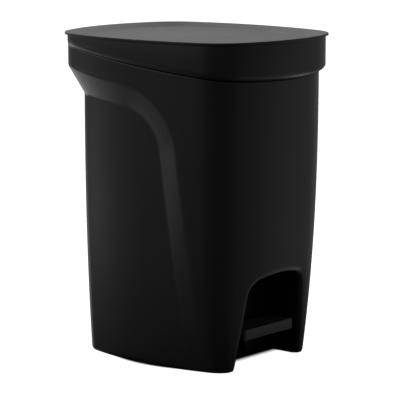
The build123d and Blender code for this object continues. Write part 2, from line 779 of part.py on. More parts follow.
# Room inside the bucket
with BuildPart() as bucket_room:
    with BuildSketch(Plane.XY.offset(bucket_bottom + bucket_wall)):
        outline(bucket_foot_inset + bucket_wall)
    with BuildSketch(Plane.XY.offset(collar_top)):
        outline(bucket_top_inset + bucket_wall)
    loft(ruled=True)
    with BuildSketch():
        with Locations((0, bucket_back - bucket_wall)):
            Rectangle(lid_width, lid_depth, align=(Align.CENTER, Align.MIN))
    extrude(amount=far, mode=Mode.SUBTRACT)
    with BuildSketch():
        with Locations((0, step_back + bucket_wall)):
            Rectangle(2 * (niche_half + bucket_wall), lid_depth, align=(Align.CENTER, Align.MAX))
    extrude(amount=step_top + bucket_wall, mode=Mode.SUBTRACT)

# Inner bucket, hung by its rim on the collar's ledge and stepped over the niche
with BuildPart() as inner_bucket:
    with BuildSketch(Plane.XY.offset(bucket_bottom)):
        outline(bucket_foot_inset)
    with BuildSketch(Plane.XY.offset(ledge_top + bucket_rim)):
        outline(bucket_top_inset)
    loft(ruled=True)
    with BuildSketch(Plane.XY.offset(ledge_top)):
        outline(mouth_inset + part_clearance, shield_shift)
    extrude(amount=bucket_rim)
    with BuildSketch():
        with Locations((0, bucket_back)):
            Rectangle(lid_width, lid_depth, align=(Align.CENTER, Align.MIN))
    extrude(amount=far, mode=Mode.SUBTRACT)
    with BuildSketch():
        with Locations((0, step_back)):
            Rectangle(2 * niche_half, lid_depth, align=(Align.CENTER, Align.MAX))
    extrude(amount=step_top, mode=Mode.SUBTRACT)
    add(bucket_room.part, mode=Mode.SUBTRACT)
inner_bucket.part.label = "inner_bucket"
export_step(inner_bucket.part, "parts/inner_bucket.step")

# Pedal arm: lever with a tab under the tread, a boss on the axle and a boss for the tail pin
with BuildPart() as pedal_arm:
    with BuildSketch(Plane.YZ):
        with BuildLine() as lever:
            Polyline(
                (arm_front, pivot_z + rest_slope * (pivot_y - arm_front) - arm_thickness / 2),
                (rod_y, tail_z - arm_thickness / 2),
                (rod_y, tail_z + arm_thickness / 2),
                (arm_front, pivot_z + rest_slope * (pivot_y - arm_front) + arm_thickness / 2),
                close=True,
            )
        make_face(lever.edges())
        with Locations((pivot_y, pivot_z)):
            Circle(pivot_boss_radius)
        with Locations((rod_y, tail_z)):
            Circle(tail_boss_radius)
        with Locations((tab_front, skin_bottom)):
            Rectangle(arm_front + arm_thickness - tab_front, arm_thickness, align=(Align.MIN, Align.MAX))
        with Locations((pivot_y, pivot_z)):
            Circle(axle_radius + running_clearance, mode=Mode.SUBTRACT)
        with Locations((rod_y, tail_z)):
            Circle(tail_pin_radius + running_clearance, mode=Mode.SUBTRACT)
    extrude(amount=arm_half, both=True)
    with Locations(*[(0, y, skin_bottom) for y in tread_screw_ys]):
        Hole(screw_radius + running_clearance)
pedal_arm.part.label = "pedal_arm"
export_step(pedal_arm.part, "parts/pedal_arm.step")

# Tread under the foot, hollow from below and grooved on top
with BuildPart() as pedal_tread:
    with BuildSketch(Plane.XY.offset(tread_bottom)):
        with Locations((0, tread_middle)):
            Rectangle(tread_width, tread_depth)
        fillet(vertices().group_by(Axis.Y)[0], tread_corner)
    extrude(amount=tread_height)
    with BuildSketch(Plane.XY.offset(tread_bottom)):
        with Locations((0, tread_middle)):
            Rectangle(tread_width - 2 * tread_wall, tread_depth - 2 * tread_wall)
        fillet(vertices().group_by(Axis.Y)[0], tread_corner - tread_wall)
        with Locations((0, tread_middle)):
            Rectangle(arm_width + 2 * sliding_clearance, tread_depth, align=(Align.CENTER, Align.MIN))
    extrude(amount=tread_height - tread_skin, mode=Mode.SUBTRACT)
    with BuildSketch(Plane.XY.offset(tread_top)):
        with Locations((0, tread_middle)):
            with GridLocations(0, groove_pitch, 1, groove_count):
                SlotOverall(tread_width - 2 * tread_corner, groove_width)
    extrude(amount=-groove_depth, mode=Mode.SUBTRACT)
    with Locations(*[Location((0, y, skin_bottom), (180, 0, 0)) for y in tread_screw_ys]):
        Hole(screw_radius + running_clearance, tread_bite + running_clearance)
pedal_tread.part.label = "pedal_tread"
export_step(pedal_tread.part, "parts/pedal_tread.step")

# Screws from below that hold the tread on the arm
with BuildPart() as tread_screws:
    with Locations(*[(0, y, skin_bottom - arm_thickness) for y in tread_screw_ys]):
        Cylinder(screw_radius, arm_thickness + tread_bite, align=(Align.CENTER, Align.CENTER, Align.MIN))
        Cylinder(screw_head_radius, screw_head_height, align=(Align.CENTER, Align.CENTER, Align.MAX))
tread_screws.part.label = "tread_screws"
export_step(tread_screws.part, "parts/tread_screws.step")

# Axle of the pedal arm
with BuildPart() as pedal_axle:
    with BuildSketch(Plane.YZ):
        with Locations((pivot_y, pivot_z)):
            Circle(axle_radius)
    extrude(amount=lug_outer + 2 * clip_thickness + sliding_clearance, both=True)
pedal_axle.part.label = "pedal_axle"
export_step(pedal_axle.part, "parts/pedal_axle.step")

# Flanged bushes in the frame's lugs
with BuildPart() as axle_bushes:
    for side in (-1, 1):
        with BuildSketch(Plane.YZ.offset(side * lug_inner)):
            with Locations((pivot_y, pivot_z)):
                Circle(bush_radius)
        extrude(amount=side * lug_thickness)
        with BuildSketch(Plane.YZ.offset(side * lug_inner)):
            with Locations((pivot_y, pivot_z)):
                Circle(bush_flange_radius)
        extrude(amount=-side * bush_flange)
    with BuildSketch(Plane.YZ):
        with Locations((pivot_y, pivot_z)):
            Circle(axle_radius + running_clearance)
    extrude(amount=lug_outer, both=True, mode=Mode.SUBTRACT)
axle_bushes.part.label = "axle_bushes"
export_step(axle_bushes.part, "parts/axle_bushes.step")

# Clips on the ends of the axle
with BuildPart() as axle_clips:
    for side in (-1, 1):
        with BuildSketch(Plane.YZ.offset(side * (lug_outer + sliding_clearance))):
            with Locations((pivot_y, pivot_z)):
                Circle(clip_radius)
                Circle(axle_radius + running_clearance, mode=Mode.SUBTRACT)
        extrude(amount=side * clip_thickness)
axle_clips.part.label = "axle_clips"
export_step(axle_clips.part, "parts/axle_clips.step")

# Pin in the arm's tail that lifts the push rod
with BuildPart() as tail_pin:
    with BuildSketch(Plane.YZ):
        with Locations((rod_y, tail_z)):
            Circle(tail_pin_radius)
    extrude(amount=fork_outer, both=True)
tail_pin.part.label = "tail_pin"
export_step(tail_pin.part, "parts/tail_pin.step")

# Rubber feet under the casing's flange
with BuildPart() as rubber_feet:
    with BuildSketch():
        with Locations(*foot_places):
            Circle(foot_radius)
    extrude(amount=foot_height)
rubber_feet.part.label = "rubber_feet"
export_step(rubber_feet.part, "parts/rubber_feet.step")
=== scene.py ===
"""Pedal bin in satin black plastic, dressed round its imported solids.

The classes hold their sizes in millimetres and the meshes are in metres. The front, with the
pedal in its arch, faces -Y, +Z is up and the floor is at zero.
"""

import logging
import math
from dataclasses import dataclass
from enum import Enum
from typing import Any, Sequence

import bmesh
import bpy
from mathutils import Matrix, Vector


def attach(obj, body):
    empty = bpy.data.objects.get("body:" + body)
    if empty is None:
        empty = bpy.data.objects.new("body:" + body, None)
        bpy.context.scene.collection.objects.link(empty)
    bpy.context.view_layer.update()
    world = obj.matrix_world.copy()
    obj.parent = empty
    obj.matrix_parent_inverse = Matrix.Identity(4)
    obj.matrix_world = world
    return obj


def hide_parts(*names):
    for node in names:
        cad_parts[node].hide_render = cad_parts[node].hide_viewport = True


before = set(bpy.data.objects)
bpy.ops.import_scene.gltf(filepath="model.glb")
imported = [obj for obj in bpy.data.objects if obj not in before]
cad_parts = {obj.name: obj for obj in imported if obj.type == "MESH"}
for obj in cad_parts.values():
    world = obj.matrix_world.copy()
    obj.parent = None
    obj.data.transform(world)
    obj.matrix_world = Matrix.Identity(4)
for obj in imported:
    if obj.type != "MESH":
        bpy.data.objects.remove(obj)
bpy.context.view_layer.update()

log = logging.getLogger("pedal_bin")

MM = 0.001
QUARTER = math.pi / 2
TINY = 1e-6
MERGE_M = 1e-7

# Cutting blocks end here, past every wall of the bin.
PAST_SIDE = 150.0
PAST_END = 200.0
PAST_TOP = 400.0

Rows = list[list[Vector]]
Triple = tuple[float, float, float]
Stops = Sequence[tuple[float, float]]

WHITE: Triple = (1.0, 1.0, 1.0)
BLACK: Triple = (0.0, 0.0, 0.0)


class Body(Enum):
    """Rigid bodies that the pieces move with."""

    CASING = "casing"
    LID = "lid"
    PEDAL = "pedal"


class Slot(Enum):
    """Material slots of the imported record."""

    CASING = "casing_plastic"
    LID = "lid_plastic"
    PEDAL = "pedal_plastic"
    BUCKET = "bucket_plastic"
    FRAME = "frame_plastic"
    BEARING = "bearing_plastic"
    STEEL = "steel"
    SCREW = "screw_steel"
    RUBBER = "rubber"


class Axis(Enum):
    """Ways that a barrel can lie."""

    ACROSS = "X"
    UP = "Z"


class Cut(Enum):
    """What a tool does to a piece."""

    AWAY = "DIFFERENCE"
    JOIN = "UNION"


# Shader maths


class Value:
    """A shader socket that takes part in sums written as Python expressions."""

    def __init__(self, board: "Board", socket: bpy.types.NodeSocket) -> None:
        """Wraps an output socket of a board, which new Math nodes go into."""
        self.board = board
        self.socket = socket

    def _with(self, operation: str, first: Any, second: Any) -> "Value":
        """One Math node on two values."""
        node = self.board.add("ShaderNodeMath", {"operation": operation}, {0: first, 1: second})
        return Value(self.board, node.outputs[0])

    def __add__(self, other: Any) -> "Value":
        """Sum of two values."""
        return self._with("ADD", self, other)

    def __radd__(self, other: Any) -> "Value":
        """Sum with a number on the left."""
        return self._with("ADD", other, self)

    def __sub__(self, other: Any) -> "Value":
        """Difference of two values."""
        return self._with("SUBTRACT", self, other)

    def __rsub__(self, other: Any) -> "Value":
        """Difference from a number on the left."""
        return self._with("SUBTRACT", other, self)

    def __mul__(self, other: Any) -> "Value":
        """Product of two values."""
        return self._with("MULTIPLY", self, other)

    def __rmul__(self, other: Any) -> "Value":
        """Product with a number on the left."""
        return self._with("MULTIPLY", other, self)

    def __truediv__(self, other: Any) -> "Value":
        """Quotient of two values."""
        return self._with("DIVIDE", self, other)

    def __rtruediv__(self, other: Any) -> "Value":
        """Quotient with a number on top."""
        return self._with("DIVIDE", other, self)

    def __pow__(self, other: Any) -> "Value":
        """Power of a value."""
        return self._with("POWER", self, other)

    def __rpow__(self, other: Any) -> "Value":
        """Power of a number."""
        return self._with("POWER", other, self)


class Board:
    """The node tree of one material, or of the world."""

    def __init__(self, owner: bpy.types.Material | bpy.types.World) -> None:
        """Starts an empty tree.

        Args:
            owner: the new material or world.
        """
        self.owner = owner
        owner.use_nodes = True
        self.tree = owner.node_tree
        self.tree.nodes.clear()

    @classmethod
    def of(cls, name: str) -> "Board":
        """The empty tree of a new material."""
        return cls(bpy.data.materials.new(name))

    def add(self, kind: str, settings: dict[str, Any], sockets: dict[Any, Any]) -> bpy.types.Node:
        """Makes a node, sets its options and then its sockets.

        Args:
            kind: the node's type.
            settings: options such as a Math node's operation, or "stops" for a colour ramp.
            sockets: values, wrapped values or sockets, by input name or number.

        Returns:
            The new node.
        """
        node = self.tree.nodes.new(kind)
        for key, value in settings.items():
            if key == "stops":
                self._set_stops(node, value)
            else:
                setattr(node, key, value)
        for key, value in sockets.items():
            source = value.socket if isinstance(value, Value) else value
            if isinstance(source, bpy.types.NodeSocket):
                self.tree.links.new(source, node.inputs[key])
            else:
                node.inputs[key].default_value = source
        return node

    @staticmethod
    def _set_stops(node: bpy.types.Node, stops: Stops) -> None:
        """Gives a colour ramp its grey stops.

        Args:
            node: the ramp's node.
            stops: pairs of place and grey value.
        """
        ramp = node.color_ramp
        while len(ramp.elements) < len(stops):
            ramp.elements.new(1.0)
        for element, (place, value) in zip(ramp.elements, stops):
            element.position = place
            element.color = (value, value, value, 1.0)

    def place(self) -> bpy.types.NodeSocket:
        """Object coordinates, in metres."""
        return self.add("ShaderNodeTexCoord", {}, {}).outputs["Object"]

    def parts(self, vector: bpy.types.NodeSocket) -> list[Value]:
        """The three parts of a vector."""
        split = self.add("ShaderNodeSeparateXYZ", {}, {0: vector})
        return [Value(self, output) for output in split.outputs]

    def noise(self, size_mm: float, detail: float, stretch: Triple = (1.0, 1.0, 1.0)) -> Value:
        """Soft noise over Object coordinates.

        Args:
            size_mm: size of one blotch.
            detail: octaves of finer noise.
            stretch: scale of the pattern along each axis.

        Returns:
            The noise, from 0 to 1.
        """
        mapping = self.add("ShaderNodeMapping", {}, {"Vector": self.place(), "Scale": stretch})
        sockets = {"Vector": mapping.outputs[0], "Scale": 1.0 / (size_mm * MM), "Detail": detail}
        return Value(self, self.add("ShaderNodeTexNoise", {}, sockets).outputs[0])

    def ramp(self, value: Value, stops: Stops) -> Value:
        """The value passed through a grey ramp."""
        node = self.add("ShaderNodeValToRGB", {"stops": stops}, {"Fac": value})
        return Value(self, node.outputs["Color"])

    def fade(self, value: Value, low: float, high: float) -> Value:
        """The value passed through a ramp from 0 at low to 1 at high."""
        return self.ramp(value, ((low, 0.0), (high, 1.0)))

    def tint(self, share: Value, low: Triple, high: Triple) -> bpy.types.NodeSocket:
        """Colour between two tints; a share of 0 gives low and 1 gives high."""
        sockets = {0: share, 6: (*low, 1.0), 7: (*high, 1.0)}
        return self.add("ShaderNodeMix", {"data_type": "RGBA"}, sockets).outputs[2]

    def bump(self, height: Value, depth_mm: float, strength: float) -> bpy.types.NodeSocket:
        """Normal pushed by a height."""
        sockets = {"Height": height, "Distance": depth_mm * MM, "Strength": strength}
        return self.add("ShaderNodeBump", {}, sockets).outputs["Normal"]

    def show(self, shader: bpy.types.Node) -> bpy.types.Material:
        """Ends a material's tree in a shader and gives the material."""
        self.add("ShaderNodeOutputMaterial", {}, {"Surface": shader.outputs[0]})
        return self.owner

    def close(self, sockets: dict[str, Any]) -> bpy.types.Material:
        """Ends a material's tree in a Principled shader with these values and links."""
        return self.show(self.add("ShaderNodeBsdfPrincipled", {}, sockets))


# Finishes


@dataclass(frozen=True)
class MouldedPlastic:
    """Injection-moulded plastic: fine mould grain, handling smudges and dust in the pores."""

    name: str
    dark: Triple
    pale: Triple
    roughness: float
    smudge: float
    grain_mm: float
    grain_depth_mm: float
    grain_strength: float
    grain_sheen: float = 0.04
    smudge_mm: float = 70.0
    smudge_tint: float = 0.3
    streak_mm: float = 26.0
    streak_stretch: Triple = (1.0, 1.0, 0.22)
    streak_share: float = 0.5
    dust_mm: float = 2.2
    dust_tint: float = 0.55
    ior: float = 1.5

    def material(self) -> bpy.types.Material:
        """The finish as a material.

        Returns:
            The new material, under the finish's name.
        """
        board = Board.of(self.name)
        grain = board.noise(self.grain_mm, detail=2.0)
        smudge = board.fade(board.noise(self.smudge_mm, detail=4.0), 0.38, 0.68)
        streak = board.fade(board.noise(self.streak_mm, 3.0, self.streak_stretch), 0.45, 0.75)
        dust = board.fade(board.noise(self.dust_mm, detail=5.0), 0.5, 0.82)
        rough = self.roughness + self.smudge * smudge + self.streak_share * self.smudge * streak
        pale_share = self.dust_tint * dust + self.smudge_tint * smudge
        return board.close(
            {
                "Base Color": board.tint(pale_share, self.dark, self.pale),
                "Roughness": rough + self.grain_sheen * (grain - 0.5),
                "IOR": self.ior,
                "Normal": board.bump(grain, self.grain_depth_mm, self.grain_strength),
            }
        )


@dataclass(frozen=True)
class PlatedSteel:
    """Drawn and zinc-plated steel with fine draw lines."""

    name: str
    tint: Triple
    shade: Triple
    roughness: float
    stretch: Triple
    line_mm: float = 0.35
    line_depth_mm: float = 0.03
    line_strength: float = 0.25
    line_sheen: float = 0.1
    bloom_mm: float = 9.0
    bloom_sheen: float = 0.12

    def material(self) -> bpy.types.Material:
        """The finish as a material.

        Returns:
            The new material, under the finish's name.
        """
        board = Board.of(self.name)
        lines = board.noise(self.line_mm, 3.0, self.stretch)
        bloom = board.fade(board.noise(self.bloom_mm, detail=4.0), 0.35, 0.7)
        rough = self.roughness + self.bloom_sheen * bloom + self.line_sheen * (lines - 0.5)
        return board.close(
            {
                "Base Color": board.tint(bloom, self.tint, self.shade),
                "Metallic": 1.0,
                "Roughness": rough,
                "Normal": board.bump(lines, self.line_depth_mm, self.line_strength),
            }
        )


@dataclass(frozen=True)
class SoftRubber:
    """Matt rubber with a dusty, pitted skin."""

    name: str
    dark: Triple
    pale: Triple
    roughness: float
    pit_mm: float = 0.5
    pit_depth_mm: float = 0.08
    pit_strength: float = 0.4
    dust_mm: float = 4.0
    dust_sheen: float = 0.1

    def material(self) -> bpy.types.Material:
        """The finish as a material.

        Returns:
            The new material, under the finish's name.
        """
        board = Board.of(self.name)
        pits = board.noise(self.pit_mm, detail=3.0)
        dust = board.fade(board.noise(self.dust_mm, detail=4.0), 0.4, 0.75)
        return board.close(
            {
                "Base Color": board.tint(dust, self.dark, self.pale),
                "Roughness": self.roughness + self.dust_sheen * dust,
                "Normal": board.bump(pits, self.pit_depth_mm, self.pit_strength),
            }
        )


FINISHES = {
    Slot.CASING: MouldedPlastic(
        name="casing_finish",
        dark=(0.0145, 0.0145, 0.0147),
        pale=(0.0185, 0.0185, 0.0188),
        roughness=0.235,
        smudge=0.03,
        grain_mm=0.55,
        grain_depth_mm=0.02,
        grain_strength=0.08,
    ),
    Slot.LID: MouldedPlastic(
        name="lid_finish",
        dark=(0.017, 0.017, 0.0173),
        pale=(0.022, 0.022, 0.0224),
        roughness=0.25,
        smudge=0.04,
        grain_mm=0.6,
        grain_depth_mm=0.02,
        grain_strength=0.12,
    ),
    Slot.PEDAL: MouldedPlastic(
        name="pedal_finish",
        dark=(0.055, 0.055, 0.0565),
        pale=(0.08, 0.08, 0.082),
        roughness=0.34,
        smudge=0.08,
        grain_mm=0.7,
        grain_depth_mm=0.04,
        grain_strength=0.25,
    ),
    Slot.BUCKET: MouldedPlastic(
        name="bucket_finish",
        dark=(0.021, 0.021, 0.0214),
        pale=(0.032, 0.032, 0.0326),
        roughness=0.45,
        smudge=0.06,
        grain_mm=0.8,
        grain_depth_mm=0.05,
        grain_strength=0.3,
    ),
    Slot.FRAME: MouldedPlastic(
        name="frame_finish",
        dark=(0.034, 0.034, 0.035),
        pale=(0.052, 0.052, 0.053),
        roughness=0.48,
        smudge=0.06,
        grain_mm=0.8,
        grain_depth_mm=0.05,
        grain_strength=0.3,
    ),
    Slot.BEARING: MouldedPlastic(
        name="bearing_finish",
        dark=(0.52, 0.51, 0.47),
        pale=(0.62, 0.61, 0.57),
        roughness=0.38,
        smudge=0.05,
        grain_mm=0.7,
        grain_depth_mm=0.03,
        grain_strength=0.2,
    ),
    Slot.STEEL: PlatedSteel(
        name="steel_finish",
        tint=(0.56, 0.56, 0.55),
        shade=(0.42, 0.42, 0.42),
        roughness=0.32,
        stretch=(0.12, 1.0, 1.0),
    ),
    Slot.SCREW: PlatedSteel(
        name="screw_finish",
        tint=(0.6, 0.6, 0.59),
        shade=(0.46, 0.46, 0.45),
        roughness=0.28,
        stretch=(1.0, 1.0, 0.3),
    ),
    Slot.RUBBER: SoftRubber(
        name="rubber_finish",
        dark=(0.012, 0.012, 0.012),
        pale=(0.03, 0.03, 0.03),
        roughness=0.78,
    ),
}


# Mesh tools


def wrapped_sheet(rows: Rows, ring: bool, tube: bool) -> bmesh.types.BMesh:
    """A grid laid on rows of points.

    Args:
        rows: points in millimetres, row by row.
        ring: joins the ends of each row.
        tube: joins the last row to the first.

    Returns:
        The sheet, with seams and poles closed and its faces outwards.
    """
    count, stations = len(rows), len(rows[0])
    across = stations if ring else stations - 1
    up = count if tube else count - 1
    bm = bmesh.new()
    bmesh.ops.create_grid(bm, x_segments=across, y_segments=up, size=1.0)
    for vert in bm.verts:
        i = round((vert.co.x + 1.0) / 2.0 * across) % stations
        j = round((vert.co.y + 1.0) / 2.0 * up) % count
        vert.co = rows[j][i] * MM
    bmesh.ops.remove_doubles(bm, verts=bm.verts, dist=MERGE_M)
    bmesh.ops.recalc_face_normals(bm, faces=bm.faces)
    return bm


def block(low: Sequence[float], high: Sequence[float]) -> bmesh.types.BMesh:
    """A box between two corners.

    Args:
        low: lowest corner, in millimetres.
        high: highest corner, in millimetres.

    Returns:
        The box.
    """
    bm = bmesh.new()
    bmesh.ops.create_cube(bm, size=1.0)
    size = [(b - a) * MM for a, b in zip(low, high)]
    middle = [(a + b) / 2 * MM for a, b in zip(low, high)]
    bmesh.ops.scale(bm, vec=size, verts=bm.verts)
    bmesh.ops.translate(bm, vec=middle, verts=bm.verts)
    return bm


def upright_edges(bm: bmesh.types.BMesh) -> list[bmesh.types.BMEdge]:
    """Edges of a block that run up and down."""
    return [e for e in bm.edges if abs(e.verts[0].co.z - e.verts[1].co.z) > 0.1 * MM]


def soften(
    bm: bmesh.types.BMesh, edges: Sequence[bmesh.types.BMEdge], radius: float, steps: int
) -> None:
    """Rounds edges of a mesh.

    Args:
        bm: the mesh.
        edges: the edges to round.
        radius: the radius, in millimetres.
        steps: faces across the round.
    """
    bmesh.ops.bevel(
        bm,
        geom=list(edges),
        offset=radius * MM,
        offset_type="OFFSET",
        segments=steps,
        profile=0.5,
        affect="EDGES",
        clamp_overlap=True,
        material=-1,
    )


def push_back(bm: bmesh.types.BMesh, depth: float) -> None:
    """Makes a flat upright face a solid bar.

    Args:
        bm: mesh that holds the face alone.
        depth: how far back the bar goes, in millimetres.
    """
    pushed = bmesh.ops.extrude_face_region(bm, geom=list(bm.faces))["geom"]
    verts = [item for item in pushed if isinstance(item, bmesh.types.BMVert)]
    bmesh.ops.translate(bm, vec=(0.0, depth * MM, 0.0), verts=verts)
    bmesh.ops.recalc_face_normals(bm, faces=bm.faces)


def barrel(
    axis: Axis, centre: Sequence[float], radius: float, length: float, steps: int = 48
) -> bmesh.types.BMesh:
    """A closed cylinder.

    Args:
        axis: the way it lies.
        centre: its middle, in millimetres.
        radius: its radius, in millimetres.
        length: its length, in millimetres.
        steps: faces round it.

    Returns:
        The cylinder.
    """
    turn = Matrix.Rotation(QUARTER, 4, "Y") if axis is Axis.ACROSS else Matrix.Identity(4)
    bm = bmesh.new()
    bmesh.ops.create_cone(
        bm,
        cap_ends=True,
        segments=steps,
        radius1=radius * MM,
        radius2=radius * MM,
        depth=length * MM,
        matrix=Matrix.Translation(Vector(centre) * MM) @ turn,
    )
    return bm


def gathered(parts: Sequence[bmesh.types.BMesh]) -> bmesh.types.BMesh:
    """Several meshes as one.

    Args:
        parts: the meshes; they are used up.

    Returns:
        The mesh that holds them all.
    """
    whole = bmesh.new()
    for part in parts:
        mesh = bpy.data.meshes.new("part")
        part.to_mesh(mesh)
        part.free()
        whole.from_mesh(mesh)
        bpy.data.meshes.remove(mesh)
    return whole


def in_scene(name: str, data: bpy.types.ID) -> bpy.types.Object:
    """Puts a mesh, light or camera into the scene.

    Args:
        name: the object's name.
        data: what it shows.

    Returns:
        The new object.
    """
    thing = bpy.data.objects.new(name, data)
    bpy.context.scene.collection.objects.link(thing)
    return thing


def piece_of(bm: bmesh.types.BMesh, name: str) -> bpy.types.Object:
    """Turns a mesh under work into an object of the scene.

    Args:
        bm: the mesh under work; it is used up.
        name: the piece's name.

    Returns:
        The piece.
    """
    mesh = bpy.data.meshes.new(name)
    bm.to_mesh(mesh)
    bm.free()
    return in_scene(name, mesh)


def carve(piece: bpy.types.Object, tool: bmesh.types.BMesh, cut: Cut = Cut.AWAY) -> None:
    """Cuts a tool out of a piece, or joins it on.

    Args:
        piece: the object to change.
        tool: closed mesh to cut with; it is used up.
        cut: what the tool does.
    """
    cutter = piece_of(tool, "cutter")
    modifier = piece.modifiers.new("carve", "BOOLEAN")
    modifier.operation = cut.value
    modifier.solver = "EXACT"
    modifier.object = cutter
    bpy.context.view_layer.update()
    graph = bpy.context.evaluated_depsgraph_get()
    mesh = bpy.data.meshes.new_from_object(piece.evaluated_get(graph), depsgraph=graph)
    piece.modifiers.clear()
    old, piece.data = piece.data, mesh
    mesh.name = piece.name
    bpy.data.meshes.remove(old)
    tool_mesh = cutter.data
    bpy.data.objects.remove(cutter)
    bpy.data.meshes.remove(tool_mesh)


def smooth(piece: bpy.types.Object, sharp_deg: float = 32.0) -> None:
    """Shades a piece smooth, apart from edges sharper than an angle."""
    piece.data.shade_smooth()
    piece.data.set_sharp_from_angle(angle=math.radians(sharp_deg))


def paint(mesh: bpy.types.Mesh, slot: Slot) -> None:
    """Gives a mesh a slot's finish in place of what it had."""
    mesh.materials.clear()
    mesh.materials.append(bpy.data.materials[FINISHES[slot].name])


def dress(piece: bpy.types.Object, body: Body, slot: Slot, nodes: Sequence[str] = ()) -> None:
    """Gives a new piece its finish and its body.

    Args:
        piece: the object.
        body: the body it moves with.
        slot: the record's slot that it takes its finish from.
        nodes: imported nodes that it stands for.
    """
    paint(piece.data, slot)
    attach(piece, body.value)
    if nodes:
        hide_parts(*nodes)
    log.info("%s: %d faces on %s", piece.name, len(piece.data.polygons), body.value)


# Forms shared by the pieces


@dataclass(frozen=True)
class Station:
    """A place on the plan outline: its arc's centre and radius, and the way it faces."""

    centre_x: float
    centre_y: float
    radius: float
    facing_x: float
    facing_y: float

    @property
    def way_in(self) -> Vector:
        """Level direction from the outline into the bin."""
        return Vector((-self.facing_x, -self.facing_y, 0.0))

    def at(self, inset: float, shift: float = 0.0) -> tuple[float, float]:
        """Plan point moved inward by inset and back by shift."""
        reach = self.radius - inset
        return self.centre_x + reach * self.facing_x, self.centre_y + reach * self.facing_y + shift

    def spot(self, inset: float, z: float, shift: float = 0.0) -> Vector:
        """The plan point at a height."""
        return Vector((*self.at(inset, shift), z))


@dataclass(frozen=True)
class Plan:
    """Plan outline that every level of the bin runs parallel to."""

    half_width: float = 120.5
    half_depth: float = 144.5
    corner: float = 55.5
    bulge: float = 11.0
    fewest_steps: int = 14

    @property
    def centre_x(self) -> float:
        """Distance of a corner's centre from the middle, across."""
        return self.half_width - self.bulge - self.corner

    @property
    def centre_y(self) -> float:
        """Distance of a corner's centre from the middle, along."""
        return self.half_depth - self.bulge - self.corner

    @property
    def side_path(self) -> float:
        """Radius of the long sides, less the corner's."""
        return (self.bulge**2 + self.centre_y**2) / (2 * self.bulge)

    @property
    def front_path(self) -> float:
        """Radius of the front and back, less the corner's."""
        return (self.bulge**2 + self.centre_x**2) / (2 * self.bulge)

    def stations(self, pitch: float = 3.6) -> list[Station]:
        """Places round the outline, anticlockwise from the left end of the front.

        Args:
            pitch: distance between places.

        Returns:
            The stations.
        """
        side = math.asin(self.centre_y / self.side_path)
        front = math.asin(self.centre_x / self.front_path)
        down, up, half = -QUARTER, QUARTER, math.pi
        side_x = self.centre_x + self.bulge - self.side_path
        front_y = self.centre_y + self.bulge - self.front_path
        long_radius = self.side_path + self.corner
        short_radius = self.front_path + self.corner
        cx, cy = self.centre_x, self.centre_y
        arcs = [
            (0.0, -front_y, short_radius, down - front, down + front),
            (cx, -cy, self.corner, down + front, -side),
            (side_x, 0.0, long_radius, -side, side),
            (cx, cy, self.corner, side, up - front),
            (0.0, front_y, short_radius, up - front, up + front),
            (-cx, cy, self.corner, up + front, half - side),
            (-side_x, 0.0, long_radius, half - side, half + side),
            (-cx, -cy, self.corner, half + side, half + up - front),
        ]
        places = []
        for x, y, radius, first, last in arcs:
            steps = max(self.fewest_steps, 2 * round((last - first) * radius / pitch / 2))
            for step in range(steps):
                angle = first + (last - first) * step / steps
                places.append(Station(x, y, radius, math.cos(angle), math.sin(angle)))
        return places


PLAN = Plan()


# Pieces


